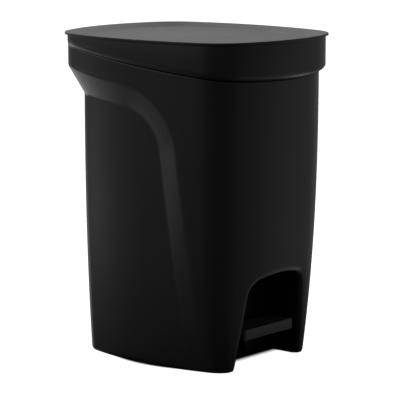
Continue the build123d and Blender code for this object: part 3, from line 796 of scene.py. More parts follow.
@dataclass
class Casing:
    """Tapered casing: a shield round the front, and behind it a field stepped back over a ramp.

    Its styling lines follow levels that slope down to the front.
    """

    foot: float = 0.3
    wall: float = 2.5
    flange_foot: float = 3.0
    flange: float = 3.5
    flange_reach: float = 63.5
    foot_round: float = 4.0
    foot_draw: float = 1.8
    shield_inset: float = 7.0
    shield_shift: float = 4.5
    shield_curve: float = 2.4
    shield_foot: float = 27.5
    field_inset: float = 22.0
    field_curve: float = 2.5
    field_foot: float = 28.5
    slope: float = math.radians(7.0)
    collar_foot: float = 324.0
    collar_inset: float = 3.1
    chamfer: float = 7.0
    ledge_drop: float = 23.9
    recess_front: float = -86.0
    outer_round: float = 60.0
    outer_lean: float = 0.107
    inner_round: float = 40.6
    inner_lean: float = 0.138
    ramp: float = 29.4
    ramp_reach: float = 26.8
    ramp_soft: float = 0.06
    seam: float = 1.2
    pitch: float = 2.8
    row_count: int = 224
    inner_rows: int = 26
    foot_shares: tuple[float, ...] = (0.0, 0.0003, 0.001, 0.0021, 0.0037, 0.0058, 0.0086)
    top_shares: tuple[float, ...] = (0.9964, 0.9982, 0.9994, 1.0)
    level_rounds: int = 5
    skin_rounds: int = 6

    def __post_init__(self) -> None:
        """Works out the sloping levels that the styling lines follow."""
        self.collar_level = self.level_of(self.collar_inset - PLAN.half_depth, self.collar_foot)
        self.band_level = self.collar_level + self.chamfer
        self.ledge_level = self.collar_level - self.ledge_drop
        self.ramp_level = self.ledge_level - self.ramp
        self.flange_top = self.flange_foot + self.flange

    def level_of(self, y: float, z: float) -> float:
        """Sloping level of a point."""
        return z * math.cos(self.slope) - y * math.sin(self.slope)

    def height_at(self, y: float, level: float) -> float:
        """Height of a level over y."""
        return (level + y * math.sin(self.slope)) / math.cos(self.slope)

    def shield(self, level: float) -> tuple[float, float]:
        """The shield's place at a level.

        Args:
            level: sloping level.

        Returns:
            Its inset and its backward shift.
        """
        low = self.level_of(-PLAN.centre_y, 0.0)
        depth = max(0.0, (self.collar_level - level) / (self.collar_level - low))
        share = depth**self.shield_curve
        inset = self.shield_inset + (self.shield_foot - self.shield_inset) * share
        return inset, self.shield_shift * (1.0 - share)

    def field(self, level: float) -> float:
        """The stepped-back field's place at a level.

        Args:
            level: sloping level.

        Returns:
            Its inset.
        """
        low = self.level_of(PLAN.centre_y, 0.0)
        depth = max(0.0, (self.ramp_level - level) / (self.ramp_level - low))
        return self.field_inset + (self.field_foot - self.field_inset) * depth**self.field_curve

    @staticmethod
    def _inside(below: float, behind: float, radius: float) -> float:
        """Depth inside a corner with a rounded tip."""
        return radius - math.hypot(max(radius - below, 0.0), max(radius - behind, 0.0))

    def ramp_share(self, y: float, level: float) -> float:
        """How far down the ramp a point is, eased at both ends.

        Args:
            y: where the point is, along the bin.
            level: its sloping level.

        Returns:
            0 on the shield, 1 on the field.
        """
        below, behind = self.ledge_level - level, y - self.recess_front
        outer = self._inside(below, behind - self.outer_lean * level, self.outer_round)
        behind -= self.ramp_reach + self.inner_lean * level
        inner = self._inside(below - self.ramp, behind, self.inner_round)
        share = outer / max(outer - inner, TINY)
        soft = self.ramp_soft
        if share <= -soft:
            return 0.0
        if share < soft:
            return (share + soft) ** 2 / (4 * soft)
        if share <= 1.0 - soft:
            return share
        if share < 1.0 + soft:
            return 1.0 - (1.0 + soft - share) ** 2 / (4 * soft)
        return 1.0

    def spot(self, station: Station, level: float, wall: float = 0.0) -> Vector:
        """Point of the casing's skin.

        Args:
            station: place round the plan.
            level: sloping level.
            wall: depth below the skin.

        Returns:
            The point.
        """
        inset, shift = self.shield(level)
        share = self.ramp_share(station.at(inset, shift)[1], level)
        inset += (self.field(level) - inset) * share
        x, y = station.at(inset + wall, shift * (1.0 - share))
        return Vector((x, y, self.height_at(y, level)))

    def level_over(self, station: Station, z: float, wall: float = 0.0) -> float:
        """Level at which the skin over a station reaches a height.

        Args:
            station: place round the plan.
            z: the height.
            wall: depth below the skin.

        Returns:
            The sloping level.
        """
        level = z
        for _ in range(self.level_rounds):
            level = self.level_of(self.spot(station, level, wall).y, z)
        return level

    def front_skin(self, x: float, z: float) -> float:
        """The front skin over a point seen from the front.

        Args:
            x: where the point is, across the bin.
            z: its height.

        Returns:
            The skin's y.
        """
        y = -PLAN.half_depth
        for _ in range(self.skin_rounds):
            inset, shift = self.shield(self.level_of(y, z))
            reach = math.sqrt((PLAN.front_path + PLAN.corner - inset) ** 2 - x**2)
            y = shift - (PLAN.centre_y + PLAN.bulge - PLAN.front_path + reach)
        return y

    def foot_inset(self, z: float) -> float:
        """How far the rounded foot draws the skin in at a height."""
        short = 1.0 - min(1.0, max(0.0, z - self.foot) / self.foot_round)
        return self.foot_draw * (1.0 - math.sqrt(1.0 - short**2))

    def outer_row(self, places: Sequence[tuple[Station, float]], share: float) -> list[Vector]:
        """One row of the outer skin, with the foot's and the top's rounded edges.

        Args:
            places: each station with the level of its foot.
            share: how far up the row is, from 0 at the foot to 1 under the collar.

        Returns:
            The row's points.
        """
        row = []
        for station, low in places:
            level = low + (self.collar_level - low) * share
            point = self.spot(station, level)
            inset = self.foot_inset(point.z)
            drop = min(self.seam, max(0.0, self.collar_level - level))
            inset += self.seam - math.sqrt(self.seam**2 - (self.seam - drop) ** 2)
            row.append(point + station.way_in * inset)
        return row

    def opening(self, station: Station, z: float) -> Vector:
        """Edge of the floor opening in the flange.

        Args:
            station: place round the plan that the point is in line with.
            z: height of the edge.

        Returns:
            The point.
        """
        x, y = station.at(self.shield_foot)
        half_x = PLAN.half_width - self.flange_reach
        half_y = PLAN.half_depth - self.flange_reach
        scale = min(half_x / max(abs(x), TINY), half_y / max(abs(y), TINY))
        return Vector((x * scale, y * scale, z))

    def rows(self, stations: Sequence[Station]) -> Rows:
        """Rows up the outside, down the inside and across the bottom flange.

        Args:
            stations: places round the plan.

        Returns:
            The rows; the last joins the first.
        """
        first, last = self.foot_shares[-1], self.top_shares[0]
        middle = [first + (last - first) * i / self.row_count for i in range(1, self.row_count)]
        places = [(station, self.level_over(station, self.foot)) for station in stations]
        shares = (*self.foot_shares, *middle, *self.top_shares)
        rows = [self.outer_row(places, share) for share in shares]
        lows = [self.level_over(station, self.flange_top, self.wall) for station in stations]
        for i in range(self.inner_rows + 1):
            row = []
            for station, low in zip(stations, lows):
                level = self.collar_level + (low - self.collar_level) * i / self.inner_rows
                row.append(self.spot(station, level, self.wall))
            rows.append(row)
        for z in (self.flange_top, self.flange_foot):
            rows.append([self.opening(station, z) for station in stations])
        for z in (self.flange_foot, self.foot):
            row = []
            for station in stations:
                level = self.level_over(station, z, self.wall)
                row.append(self.spot(station, level, self.wall))
            rows.append(row)
        return rows

    def build(self, niche: "Niche", hinge: "Hinge", cuts: "FlangeCuts") -> None:
        """Makes the casing.

        Args:
            niche: gives the arch that is cut in the front.
            hinge: gives the notch that is cut in the back of the rim.
            cuts: gives the openings in the bottom flange.
        """
        sheet = wrapped_sheet(self.rows(PLAN.stations(self.pitch)), True, True)
        piece = piece_of(sheet, "casing_skin")
        carve(piece, niche.prism(niche.lip * niche.lip_cut, -PAST_END, niche.lip_end))
        behind = niche.prism(niche.skin, niche.lip_end - niche.overlap, niche.back)
        carve(piece, gathered([behind, hinge.notch(), *cuts.tools(self.flange_foot)]))
        smooth(piece)
        dress(piece, Body.CASING, Slot.CASING, ["outer_shell"])


@dataclass
class FlangeCuts:
    """Openings in the casing's bottom flange: a notch under the push rod's fork and screw holes."""

    notch_half: float = 11.9
    notch_front: float = 99.2
    notch_rear: float = 112.8
    notch_foot: float = -5.0
    notch_head: float = 7.5
    screws: tuple[tuple[float, float], ...] = (
        (76.0, -50.0),
        (-76.0, -50.0),
        (66.0, 70.0),
        (-66.0, 70.0),
    )
    screw_radius: float = 3.7
    screw_length: float = 7.2
    screw_steps: int = 32

    def tools(self, z: float) -> list[bmesh.types.BMesh]:
        """Blocks and barrels that cut the openings.

        Args:
            z: height of the screw holes' middle.

        Returns:
            The tools.
        """
        low = (-self.notch_half, self.notch_front, self.notch_foot)
        tools = [block(low, (self.notch_half, self.notch_rear, self.notch_head))]
        for x, y in self.screws:
            hole = (self.screw_radius, self.screw_length, self.screw_steps)
            tools.append(barrel(Axis.UP, (x, y, z), *hole))
        return tools


@dataclass
class Niche:
    """Arch in the front with a rolled lip, and the walls of the foot niche behind it."""

    height: float = 105.1
    foot_half: float = 56.7
    head_half: float = 44.5
    radius: float = 19.0
    crown: float = 2.5
    crown_half: float = 25.0
    head_steps: int = 6
    round_steps: int = 12
    path_pitch: float = 1.2
    foot: float = 0.3
    cut_foot: float = -20.0
    back: float = -66.0
    wall: float = 2.2
    skin: float = 1.98
    overlap: float = 2.0
    depth_rows: int = 9
    lip: float = 10.3
    lip_cut: float = 0.9
    lip_end: float = -99.0
    lip_sink: float = 0.03
    lip_steps: int = 12
    slot_half: float = 8.0
    slot_foot: float = 8.0
    slot_head: float = 46.0
    slot_reach: float = 9.0
    heart: Triple = (0.0, -86.0, 45.0)

    def face(
        self, grow: float, y: float, foot: float
    ) -> tuple[bmesh.types.BMesh, list[bmesh.types.BMVert]]:
        """Flat face in the shape of the arch, with its crowned head.

        Args:
            grow: how much larger it is all round.
            y: where it stands.
            foot: height of its lower edge.

        Returns:
            The mesh, and its vertices from the left foot over the head to the right foot.
        """
        bm = bmesh.new()
        lean = (self.foot_half - self.head_half) / self.height
        fall = 2.0 * self.crown / self.crown_half
        base, top = self.foot_half + grow, self.height + grow
        shoulder = (top - self.crown - fall * (base - self.crown_half)) / (1.0 - fall * lean)
        steps = self.head_steps
        head = [self.crown_half * (i / steps - 1.0) for i in range(2 * steps + 1)]
        places = [(lean * foot - base, foot), (lean * shoulder - base, shoulder)]
        places += [(x, top - self.crown * (x / self.crown_half) ** 2) for x in head]
        places += [(base - lean * shoulder, shoulder), (base - lean * foot, foot)]
        verts = [bm.verts.new((x * MM, y * MM, z * MM)) for x, z in places]
        bm.faces.new(verts)
        turn = QUARTER - math.atan(lean) - math.atan(fall)
        bmesh.ops.bevel(
            bm,
            geom=[verts[1], verts[-2]],
            offset=(self.radius + grow) * MM * math.tan(turn / 2),
            offset_type="OFFSET",
            segments=self.round_steps,
            profile=0.5,
            affect="VERTICES",
            material=-1,
        )
        bm.faces.ensure_lookup_table()
        ring = [loop.vert for loop in bm.faces[0].loops]
        start = min(range(len(ring)), key=lambda i: (round(ring[i].co.z, 5), ring[i].co.x))
        ring = ring[start:] + ring[:start]
        if ring[1].co.x > 0:
            ring = ring[:1] + ring[:0:-1]
        return bm, ring

    def prism(self, grow: float, front: float, back: float) -> bmesh.types.BMesh:
        """The arch as a solid bar.

        Args:
            grow: how much larger it is all round.
            front: where it begins.
            back: where it ends.

        Returns:
            The bar.
        """
        bm, _ = self.face(grow, front, self.cut_foot)
        push_back(bm, back - front)
        return bm

    def path(self) -> list[tuple[Vector, Vector]]:
        """Places along the arch's edge, seen from the front.

        Returns:
            Each place with the way out from the edge.
        """
        bm, ring = self.face(0.0, 0.0, self.foot)
        marks = [vert.co / MM for vert in ring]
        bm.free()
        fine: list[Vector] = []
        for a, b in zip(marks, marks[1:]):
            steps = max(1, round((b - a).length / self.path_pitch))
            fine += [a.lerp(b, i / steps) for i in range(steps)]
        fine.append(marks[-1])
        path = []
        for i, mark in enumerate(fine):
            along = fine[min(i + 1, len(fine) - 1)] - fine[max(i - 1, 0)]
            path.append((mark, Vector((-along.z, 0.0, along.x)).normalized()))
        return path

    def build(self, casing: Casing) -> None:
        """Makes the jambs, whose lip runs out to the casing's skin, and the back wall."""
        self._jambs(casing)
        self._back()

    def _jambs(self, casing: Casing) -> None:
        """Makes the walls round the foot and the lip that rolls out to the skin.

        Args:
            casing: gives the skin.
        """
        path = self.path()
        rows: Rows = []
        for i in range(self.depth_rows + 1):
            row = []
            for mark, _ in path:
                front = casing.front_skin(mark.x, mark.z) + self.lip
                y = self.back + (front - self.back) * (i / self.depth_rows)
                row.append(Vector((mark.x, y, mark.z)))
            rows.append(row)
        for i in range(1, self.lip_steps + 1):
            turn = QUARTER * i / self.lip_steps
            row = []
            for mark, out in path:
                spot = mark + out * self.lip * (1.0 - math.cos(turn))
                depth = max(self.lip * (1.0 - math.sin(turn)), self.lip_sink)
                y = casing.front_skin(spot.x, spot.z) + depth
                drawn = casing.foot_inset(spot.z)
                spot.x += math.copysign(drawn * math.cos(turn), spot.x)
                row.append(Vector((spot.x, y + drawn * math.sin(turn), spot.z)))
            rows.append(row)
        sheet = wrapped_sheet(rows, False, False)
        self._face_inwards(sheet)
        jambs = piece_of(sheet, "niche_jambs")
        thick = jambs.modifiers.new("wall", "SOLIDIFY")
        thick.thickness = self.skin * MM
        thick.offset = -1.0
        smooth(jambs, sharp_deg=50.0)
        dress(jambs, Body.CASING, Slot.CASING)

    def _back(self) -> None:
        """Makes the back wall with the lever's slot."""
        wall, _ = self.face(self.skin, self.back, self.foot)
        push_back(wall, self.wall)
        back = piece_of(wall, "niche_back")
        low = (-self.slot_half, self.back - self.slot_reach, self.slot_foot)
        carve(back, block(low, (self.slot_half, self.back + self.slot_reach, self.slot_head)))
        smooth(back)
        dress(back, Body.CASING, Slot.CASING, ["pedal_housing"])

    def _face_inwards(self, sheet: bmesh.types.BMesh) -> None:
        """Turns the jambs' faces to the heart of the niche.

        Args:
            sheet: the jambs.
        """
        face = max(sheet.faces, key=lambda f: f.calc_center_median().y)
        if face.normal.dot(Vector(self.heart) * MM - face.calc_center_median()) < 0.0:
            bmesh.ops.reverse_faces(sheet, faces=sheet.faces)


@dataclass
class Hinge:
    """Lid hinge at the back of the rim: lugs on the collar and knuckles on the lid."""

    y: float = 134.0
    z: float = 360.5
    radius: float = 4.0
    bore: float = 2.05
    web_half: float = 3.4
    web_top: float = 367.45
    knuckle: float = 8.8
    lug: float = 8.0
    lug_sink: float = 0.2
    offset: float = 25.0
    step: float = 9.0
    notch_half: float = 41.0
    notch_floor: float = 349.4
    notch_front: float = 119.5
    merge: float = 0.1
    edge: float = 0.35
    edge_steps: int = 2
    edge_deg: float = 40.0

    def notch(self) -> bmesh.types.BMesh:
        """Block that clears the hinge out of the back of the rim."""
        low = (-self.notch_half, self.notch_front, self.notch_floor)
        return block(low, (self.notch_half, PAST_END, PAST_TOP))

    def _eyes(
        self, name: str, places: Sequence[float], width: float, low: float, high: float
    ) -> bpy.types.Object:
        """Several eyes in one piece, bored for the rod.

        Args:
            name: the piece's name.
            places: each eye's middle across the bin.
            width: length of each barrel.
            low: foot of the webs.
            high: head of the webs.

        Returns:
            The piece.
        """
        tubes = [barrel(Axis.ACROSS, (x, self.y, self.z), self.radius, width) for x in places]
        eyes = piece_of(gathered(tubes), name)
        near, far = self.y - self.web_half, self.y + self.web_half
        webs = [block((x - width / 2, near, low), (x + width / 2, far, high)) for x in places]
        carve(eyes, gathered(webs), Cut.JOIN)
        carve(eyes, barrel(Axis.ACROSS, (0.0, self.y, self.z), self.bore, 2 * self.notch_half))
        bm = bmesh.new()
        bm.from_mesh(eyes.data)
        bmesh.ops.remove_doubles(bm, verts=bm.verts, dist=self.merge * MM)
        bm.to_mesh(eyes.data)
        bm.free()
        edge = eyes.modifiers.new("edge", "BEVEL")
        edge.width = self.edge * MM
        edge.segments = self.edge_steps
        edge.limit_method = "ANGLE"
        edge.angle_limit = math.radians(self.edge_deg)
        smooth(eyes, self.edge_deg)
        return eyes

    def build(self) -> None:
        """Makes the lugs on the collar and the knuckles on the lid."""
        lugs = [side * (self.offset + way) for side in (-1, 1) for way in (-self.step, self.step)]
        fixed = self._eyes("hinge_lugs", lugs, self.lug, self.notch_floor - self.lug_sink, self.z)
        dress(fixed, Body.CASING, Slot.CASING)
        pair = (-self.offset, self.offset)
        knuckles = self._eyes("lid_knuckles", pair, self.knuckle, self.z, self.web_top)
        dress(knuckles, Body.LID, Slot.LID)


@dataclass
class Collar:
    """Ring on top of the casing: band, sloping chamfer, mouth, bucket ledge and rear deck."""

    inset: float = 3.1
    rim: float = 367.0
    rim_wall: float = 2.0
    rim_ease: float = 0.4
    rim_end: float = 131.0
    top: float = 361.0
    mouth: float = 12.5
    mouth_ease: float = 0.7
    mouth_turn: float = 0.2
    wall: float = 2.7
    spigot: float = 14.0
    edge: float = 0.45
    edge_share: float = 0.45
    edge_turns: tuple[float, ...] = (0.25, 0.5, 0.75, 1.0)
    band_parts: tuple[float, ...] = (0.03, 0.08, 0.3)
    seam_depth: float = 0.99
    seam_turn: float = 0.25
    seam_part: float = 0.05
    chamfer_swell: float = 0.11
    chamfer_parts: tuple[float, ...] = (0.14, 0.28, 0.42, 0.56, 0.7, 0.84, 0.95)
    plate: float = 2.5
    plate_pitch: float = 6.0
    plate_heart: float = 60.0
    tuck: float = 0.4
    ledge: float = 349.0
    ledge_reach: float = 9.0
    ledge_back: float = 95.0
    deck_drop: float = 0.3
    deck_front: float = 98.0
    deck_slot: float = 16.0
    beam_reach: float = 6.5
    cut_front: float = 80.0
    cut_foot: float = 300.0

    def _ring(self, casing: Casing, station: Station) -> list[Vector]:
        """Section of the ring, from the chamfer's foot up, over and down inside.

        Args:
            casing: gives the sloping levels.
            station: place round the plan.

        Returns:
            The section's points; the last joins the first.
        """
        shift, way_in, lift = casing.shield_shift, station.way_in, Vector((0.0, 0.0, 1.0))
        x, y = station.at(casing.shield_inset, shift)
        low = Vector((x, y, casing.height_at(y, casing.collar_level)))
        x, y = station.at(self.inset)
        high = Vector((x, y, casing.height_at(y, casing.band_level)))
        points = [low + way_in * self.seam_depth]
        points.append(low.lerp(high, self.seam_part) + way_in * self.seam_turn)
        chord = high - low
        run = math.hypot(chord.x, chord.y)
        outward = Vector((chord.x, chord.y, 0.0)) * (chord.z / run)
        swell = (outward - lift * run) * self.chamfer_swell
        for part in self.chamfer_parts:
            points.append(low.lerp(high, part) + swell * (4.0 * part * (1.0 - part)))
        room = self.rim - high.z
        edge = min(self.edge, room * self.edge_share)
        points += [high + lift * (room * part) for part in self.band_parts]
        points.append(high + lift * (room - edge))
        for turn in self.edge_turns:
            angle = turn * QUARTER
            rise = room - edge + edge * math.sin(angle)
            points.append(high + way_in * edge * (1.0 - math.cos(angle)) + lift * rise)
        inside = self.inset + self.rim_wall
        points.append(station.spot(inside - self.rim_ease, self.rim))
        points.append(station.spot(inside, self.rim - self.rim_ease))
        points.append(station.spot(inside, self.top))
        mouth = station.spot(self.mouth, self.top, shift)
        points.append(mouth - way_in * self.mouth_ease)
        points.append(mouth - (way_in + lift) * self.mouth_turn)
        points.append(mouth - lift * self.mouth_ease)
        base = casing.height_at(mouth.y, casing.collar_level - self.spigot)
        points.append(Vector((mouth.x, mouth.y, base)))
        points += [station.spot(self.mouth - self.wall, z, shift) for z in (base, low.z)]
        return points

    def _plate(
        self, outer: float, inner: float, z: float, shift: float, front: float, back: float
    ) -> bmesh.types.BMesh:
        """Flat ring between two insets, trimmed to a stretch of y.

        Args:
            outer: inset of its outer edge.
            inner: inset of its inner edge, or 0 for a full plate.
            z: height of its top.
            shift: backward shift of its outline.
            front: where it begins.
            back: where it ends.

        Returns:
            The plate.
        """
        stations = PLAN.stations(self.plate_pitch)
        low, high = z - self.plate, z
        sections = [(outer, low), (outer, high)]
        if inner:
            sections += [(inner, high), (inner, low)]
        rows = [[s.spot(inset, height, shift) for s in stations] for inset, height in sections]
        if not inner:
            hearts = [Vector((0.0, self.plate_heart, height)) for height in (low, high)]
            rows = [[hearts[0]] * len(stations), *rows, [hearts[1]] * len(stations)]
        bm = wrapped_sheet(rows, True, bool(inner))
        for y, normal in ((front, (0, -1, 0)), (back, (0, 1, 0))):
            cut = bmesh.ops.bisect_plane(
                bm,
                geom=[*bm.verts, *bm.edges, *bm.faces],
                plane_co=(0, y * MM, 0),
                plane_no=normal,
                clear_outer=True,
            )
            edges = [item for item in cut["geom_cut"] if isinstance(item, bmesh.types.BMEdge)]
            if edges:
                bmesh.ops.holes_fill(bm, edges=edges, sides=0)
        bmesh.ops.recalc_face_normals(bm, faces=bm.faces)
        return bm

    def build(self, casing: Casing, hinge: Hinge) -> None:
        """Makes the ring, and the ledge, deck and hinge beam inside it.

        Args:
            casing: gives the sloping levels.
            hinge: gives the notch in the back.
        """
        sections = [self._ring(casing, station) for station in PLAN.stations()]
        rows = [list(row) for row in zip(*sections)]
        ring = piece_of(wrapped_sheet(rows, True, True), "collar_ring")
        carve(ring, block((-PAST_SIDE, self.rim_end, self.top), (PAST_SIDE, PAST_END, PAST_TOP)))
        carve(ring, hinge.notch())
        smooth(ring, sharp_deg=30.0)
        dress(ring, Body.CASING, Slot.CASING, ["rim_collar"])
        for piece in self._plates(casing.shield_shift, hinge):
            smooth(piece)
            dress(piece, Body.CASING, Slot.CASING)

    def _plates(self, shift: float, hinge: Hinge) -> list[bpy.types.Object]:
        """The flat pieces inside the ring.

        Args:
            shift: backward shift of their outlines.
            hinge: gives the notch in the back.

        Returns:
            The bucket's ledge, the rear deck and the beam under the hinge.
        """
        outer, inner = self.mouth - self.tuck, self.mouth + self.ledge_reach
        plate = self._plate(outer, inner, self.ledge, shift, -PAST_END, self.ledge_back)
        ledge = piece_of(plate, "bucket_ledge")
        deck_top = self.top - self.deck_drop
        plate = self._plate(outer, 0.0, deck_top, shift, self.deck_front, PAST_END)
        deck = piece_of(plate, "rear_deck")
        low = (-self.deck_slot, self.cut_front, self.cut_foot)
        carve(deck, block(low, (self.deck_slot, PAST_END, PAST_TOP)))
        carve(deck, hinge.notch())
        outer, front = self.mouth - self.wall, hinge.y - self.beam_reach
        plate = self._plate(outer, 0.0, hinge.notch_floor, shift, front, PAST_END)
        beam = piece_of(plate, "hinge_beam")
        sides = []
        for left, right in ((-PAST_SIDE, -hinge.notch_half), (hinge.notch_half, PAST_SIDE)):
            low = (left, self.cut_front, self.cut_foot)
            sides.append(block(low, (right, PAST_END, PAST_TOP)))
        carve(beam, gathered(sides))
        return [ledge, deck, beam]


@dataclass
class Lid:
    """Lid: a thin lip and a skirt round a dished panel."""

    top: float = 370.0
    wall: float = 2.2
    lip: float = 2.7
    lip_round: float = 0.35
    lip_turns: tuple[float, ...] = (0.0, 0.35, 0.7, 1.0)
    edge: float = 0.9
    edge_turns: tuple[float, ...] = (0.0, 0.25, 0.5, 0.75, 1.0)
    rim: float = 2.0
    rim_ease: tuple[tuple[float, float], ...] = ((0.2, 0.14), (-0.6, 0.0))
    border: float = 22.0
    dish: float = 5.0
    dish_ease: tuple[tuple[float, float], ...] = ((1.6, 0.0), (0.4, 0.06))
    dish_parts: tuple[float, ...] = (1.4, 5.0, 10.0, 15.0, 19.5, 20.9)
    panel_shares: tuple[float, ...] = (0.0, 0.12, 0.3, 0.5, 0.7, 0.86, 0.96)
    skirt: float = 5.8
    skirt_inset: float = 5.4
    skirt_wall: float = 1.1
    skirt_round: float = 0.3
    skirt_tuck: float = 0.3
    skirt_end: float = 98.0
    skirt_clear: float = 2.0
    sharp_deg: float = 40.0

    @property
    def dished(self) -> float:
        """Inset of the dish's foot."""
        return self.rim + self.border

    @property
    def skirt_inner(self) -> float:
        """Inset of the skirt's inner face."""
        return self.skirt_inset + self.skirt_wall

    def underside(self, inset: float) -> float:
        """Height of the underside along the dish's slope."""
        base = self.top - self.dish - self.wall
        return base + self.dish * (self.dished - inset) / self.border

    def section(self) -> list[tuple[float, float]]:
        """Rings of the lid, from the foot of the dish over the lip to the underside.

        Returns:
            Each ring's inset and height.
        """
        top, base, lip_foot = self.top, self.top - self.dish, self.top - self.lip
        slope = self.dish / self.border
        rings = [(self.dished + out, base + rise) for out, rise in self.dish_ease]
        rings += [(self.dished - part, base + slope * part) for part in self.dish_parts]
        rings += [(self.rim + inset, top - drop) for inset, drop in self.rim_ease]
        for turn in self.edge_turns:
            inset, drop = 1.0 - math.sin(turn * QUARTER), 1.0 - math.cos(turn * QUARTER)
            rings.append((self.edge * inset, top - self.edge * drop))
        for turn in self.lip_turns:
            inset, rise = 1.0 - math.cos(turn * QUARTER), 1.0 - math.sin(turn * QUARTER)
            rings.append((self.lip_round * inset, lip_foot + self.lip_round * rise))
        rings.append((self.skirt_inset, lip_foot))
        rings += [(inset, self.underside(inset)) for inset in (self.skirt_inner, self.dished)]
        return rings

    @staticmethod
    def _panel(station: Station, inset: float, height: float, share: float) -> Vector:
        """Point of the flat panel, part of the way from its middle."""
        x, y = station.at(inset)
        return Vector((x * share, y * share, height))

    def build(self) -> None:
        """Makes the lid, and its skirt cut away over the hinge."""
        stations = PLAN.stations()
        rings = self.section()
        above, below = (
            [[self._panel(s, *ring, share) for s in stations] for share in self.panel_shares]
            for ring in (rings[0], rings[-1])
        )
        shell = [[station.spot(inset, height) for station in stations] for inset, height in rings]
        rows = [*above, *shell, *reversed(below)]
        piece = piece_of(wrapped_sheet(rows, True, False), "lid_shell")
        smooth(piece, self.sharp_deg)
        dress(piece, Body.LID, Slot.LID, ["lid"])
        self._skirt(stations)

    def _skirt(self, stations: Sequence[Station]) -> None:
        """Makes the skirt.

        Args:
            stations: places round the plan.
        """
        high = self.top - self.lip + self.skirt_tuck
        low = high - self.skirt
        outer, inner, turn = self.skirt_inset, self.skirt_inner, self.skirt_round
        rings = [
            (outer, high),
            (outer, low + turn),
            (outer + turn, low),
            (inner - turn, low),
            (inner, low + turn),
            (inner, self.underside(inner) + self.skirt_tuck),
        ]
        rows = [[station.spot(inset, height) for station in stations] for inset, height in rings]
        skirt = piece_of(wrapped_sheet(rows, True, True), "lid_skirt")
        foot, head = low - self.skirt_clear, high + self.skirt_clear
        carve(skirt, block((-PAST_SIDE, self.skirt_end, foot), (PAST_SIDE, PAST_END, head)))
        smooth(skirt, self.sharp_deg)
        dress(skirt, Body.LID, Slot.LID)


@dataclass
class Tread:
    """Tread under the foot: rounded in front, grooved on top, hollow below."""

    half: float = 44.0
    front: float = -107.5
    back: float = -71.5
    low: float = 33.2
    high: float = 45.4
    corner: float = 3.5
    corner_steps: int = 8
    edge: float = 1.2
    edge_steps: int = 4
    foot_edge: float = 0.8
    foot_steps: int = 3
    skin: float = 4.0
    wall: float = 2.5
    hollow_steps: int = 6
    arm_half: float = 6.3
    arm_front: float = -90.0
    arm_back: float = -60.0
    arm_gap: float = 0.01
    grooves: int = 4
    pitch: float = 6.0
    groove: float = 2.0
    groove_depth: float = 0.8
    groove_end: float = 8.0
    groove_round: float = 0.95
    groove_steps: int = 4
    clear: float = 5.0
    near: float = 0.1

    def _pad(self) -> bmesh.types.BMesh:
        """The solid pad with its rounded edges.

        Returns:
            The pad.
        """
        bm = block((-self.half, self.front, self.low), (self.half, self.back, self.high))
        front, top = (self.front + self.near) * MM, (self.high - self.near) * MM
        foot = (self.low + self.near) * MM
        corners = [e for e in upright_edges(bm) if e.verts[0].co.y < front]
        soften(bm, corners, self.corner, self.corner_steps)
        rim = [e for e in bm.edges if min(v.co.z for v in e.verts) > top]
        soften(bm, rim, self.edge, self.edge_steps)
        base = [e for e in bm.edges if max(v.co.z for v in e.verts) < foot]
        soften(bm, base, self.foot_edge, self.foot_steps)
        bmesh.ops.recalc_face_normals(bm, faces=bm.faces)
        return bm

    def _grooves(self) -> bmesh.types.BMesh:
        """Bars that cut the grooves across the top.

        Returns:
            The bars as one mesh.
        """
        middle, reach = (self.front + self.back) / 2, self.half - self.groove_end
        bars = []
        for i in range(self.grooves):
            y = middle + (i - (self.grooves - 1) / 2) * self.pitch
            low = (-reach, y - self.groove / 2, self.high - self.groove_depth)
            bar = block(low, (reach, y + self.groove / 2, self.high + self.clear))
            soften(bar, upright_edges(bar), self.groove_round, self.groove_steps)
            bars.append(bar)
        return gathered(bars)

    def build(self) -> None:
        """Makes the tread."""
        piece = piece_of(self._pad(), "tread_pad")
        foot, head = self.low - self.clear, self.high - self.skin
        hollow = block(
            (self.wall - self.half, self.front + self.wall, foot),
            (self.half - self.wall, self.back - self.wall, head),
        )
        soften(hollow, upright_edges(hollow), self.corner - self.wall, self.hollow_steps)
        carve(piece, hollow)
        low = (-self.arm_half, self.arm_front, foot)
        carve(piece, block(low, (self.arm_half, self.arm_back, head - self.arm_gap)))
        carve(piece, self._grooves())
        smooth(piece, sharp_deg=35.0)
        dress(piece, Body.PEDAL, Slot.PEDAL, ["pedal_tread"])


@dataclass
class CarriedNodes:
    """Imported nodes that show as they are, each with its finish."""

    finishes: tuple[tuple[Slot, tuple[str, ...]], ...] = (
        (
            Slot.STEEL,
            ("lid_hinge_rod", "lift_pin", "tail_pin", "pedal_axle", "axle_clips", "pedal_arm"),
        ),
        (Slot.SCREW, ("lift_bracket_screws", "base_screws", "channel_screws", "tread_screws")),
        (Slot.BEARING, ("axle_bushes", "hinge_rod_caps")),
        (Slot.FRAME, ("base_frame", "rod_channel", "push_rod", "lift_bracket")),
        (Slot.BUCKET, ("inner_bucket",)),
        (Slot.RUBBER, ("lid_buffers", "rubber_feet")),
    )

    def dress(self) -> None:
        """Gives each node its material."""
        for slot, names in self.finishes:
            for name in names:
                paint(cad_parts[name].data, slot)
                log.info("%s: %s", name, slot.value)


# Studio


@dataclass(frozen=True)
class SoftPanel:
    """A soft patch of light in the surround, by its bearing, rise and half sizes in degrees."""

    bearing: float
    rise: float
    half_width: float
    half_height: float
    glow: float

    def light(self, x: Value, y: Value, rise: Value) -> Value:
        """The panel's share of the surround.

        Args:
            x: level part of the way looked along, across.
            y: level part of the way looked along, to the back.
            rise: rise of the way looked along, in radians.

        Returns:
            The light from that way.
        """
        a, e = math.radians(self.bearing), math.radians(self.rise)
        facing = x * math.cos(a) + y * math.sin(a)
        across = (facing - 1.0) * (2.0 / math.radians(self.half_width) ** 2)
        up = (rise - e) * (1.0 / math.radians(self.half_height))
        return self.glow * math.e ** (across - up * up)


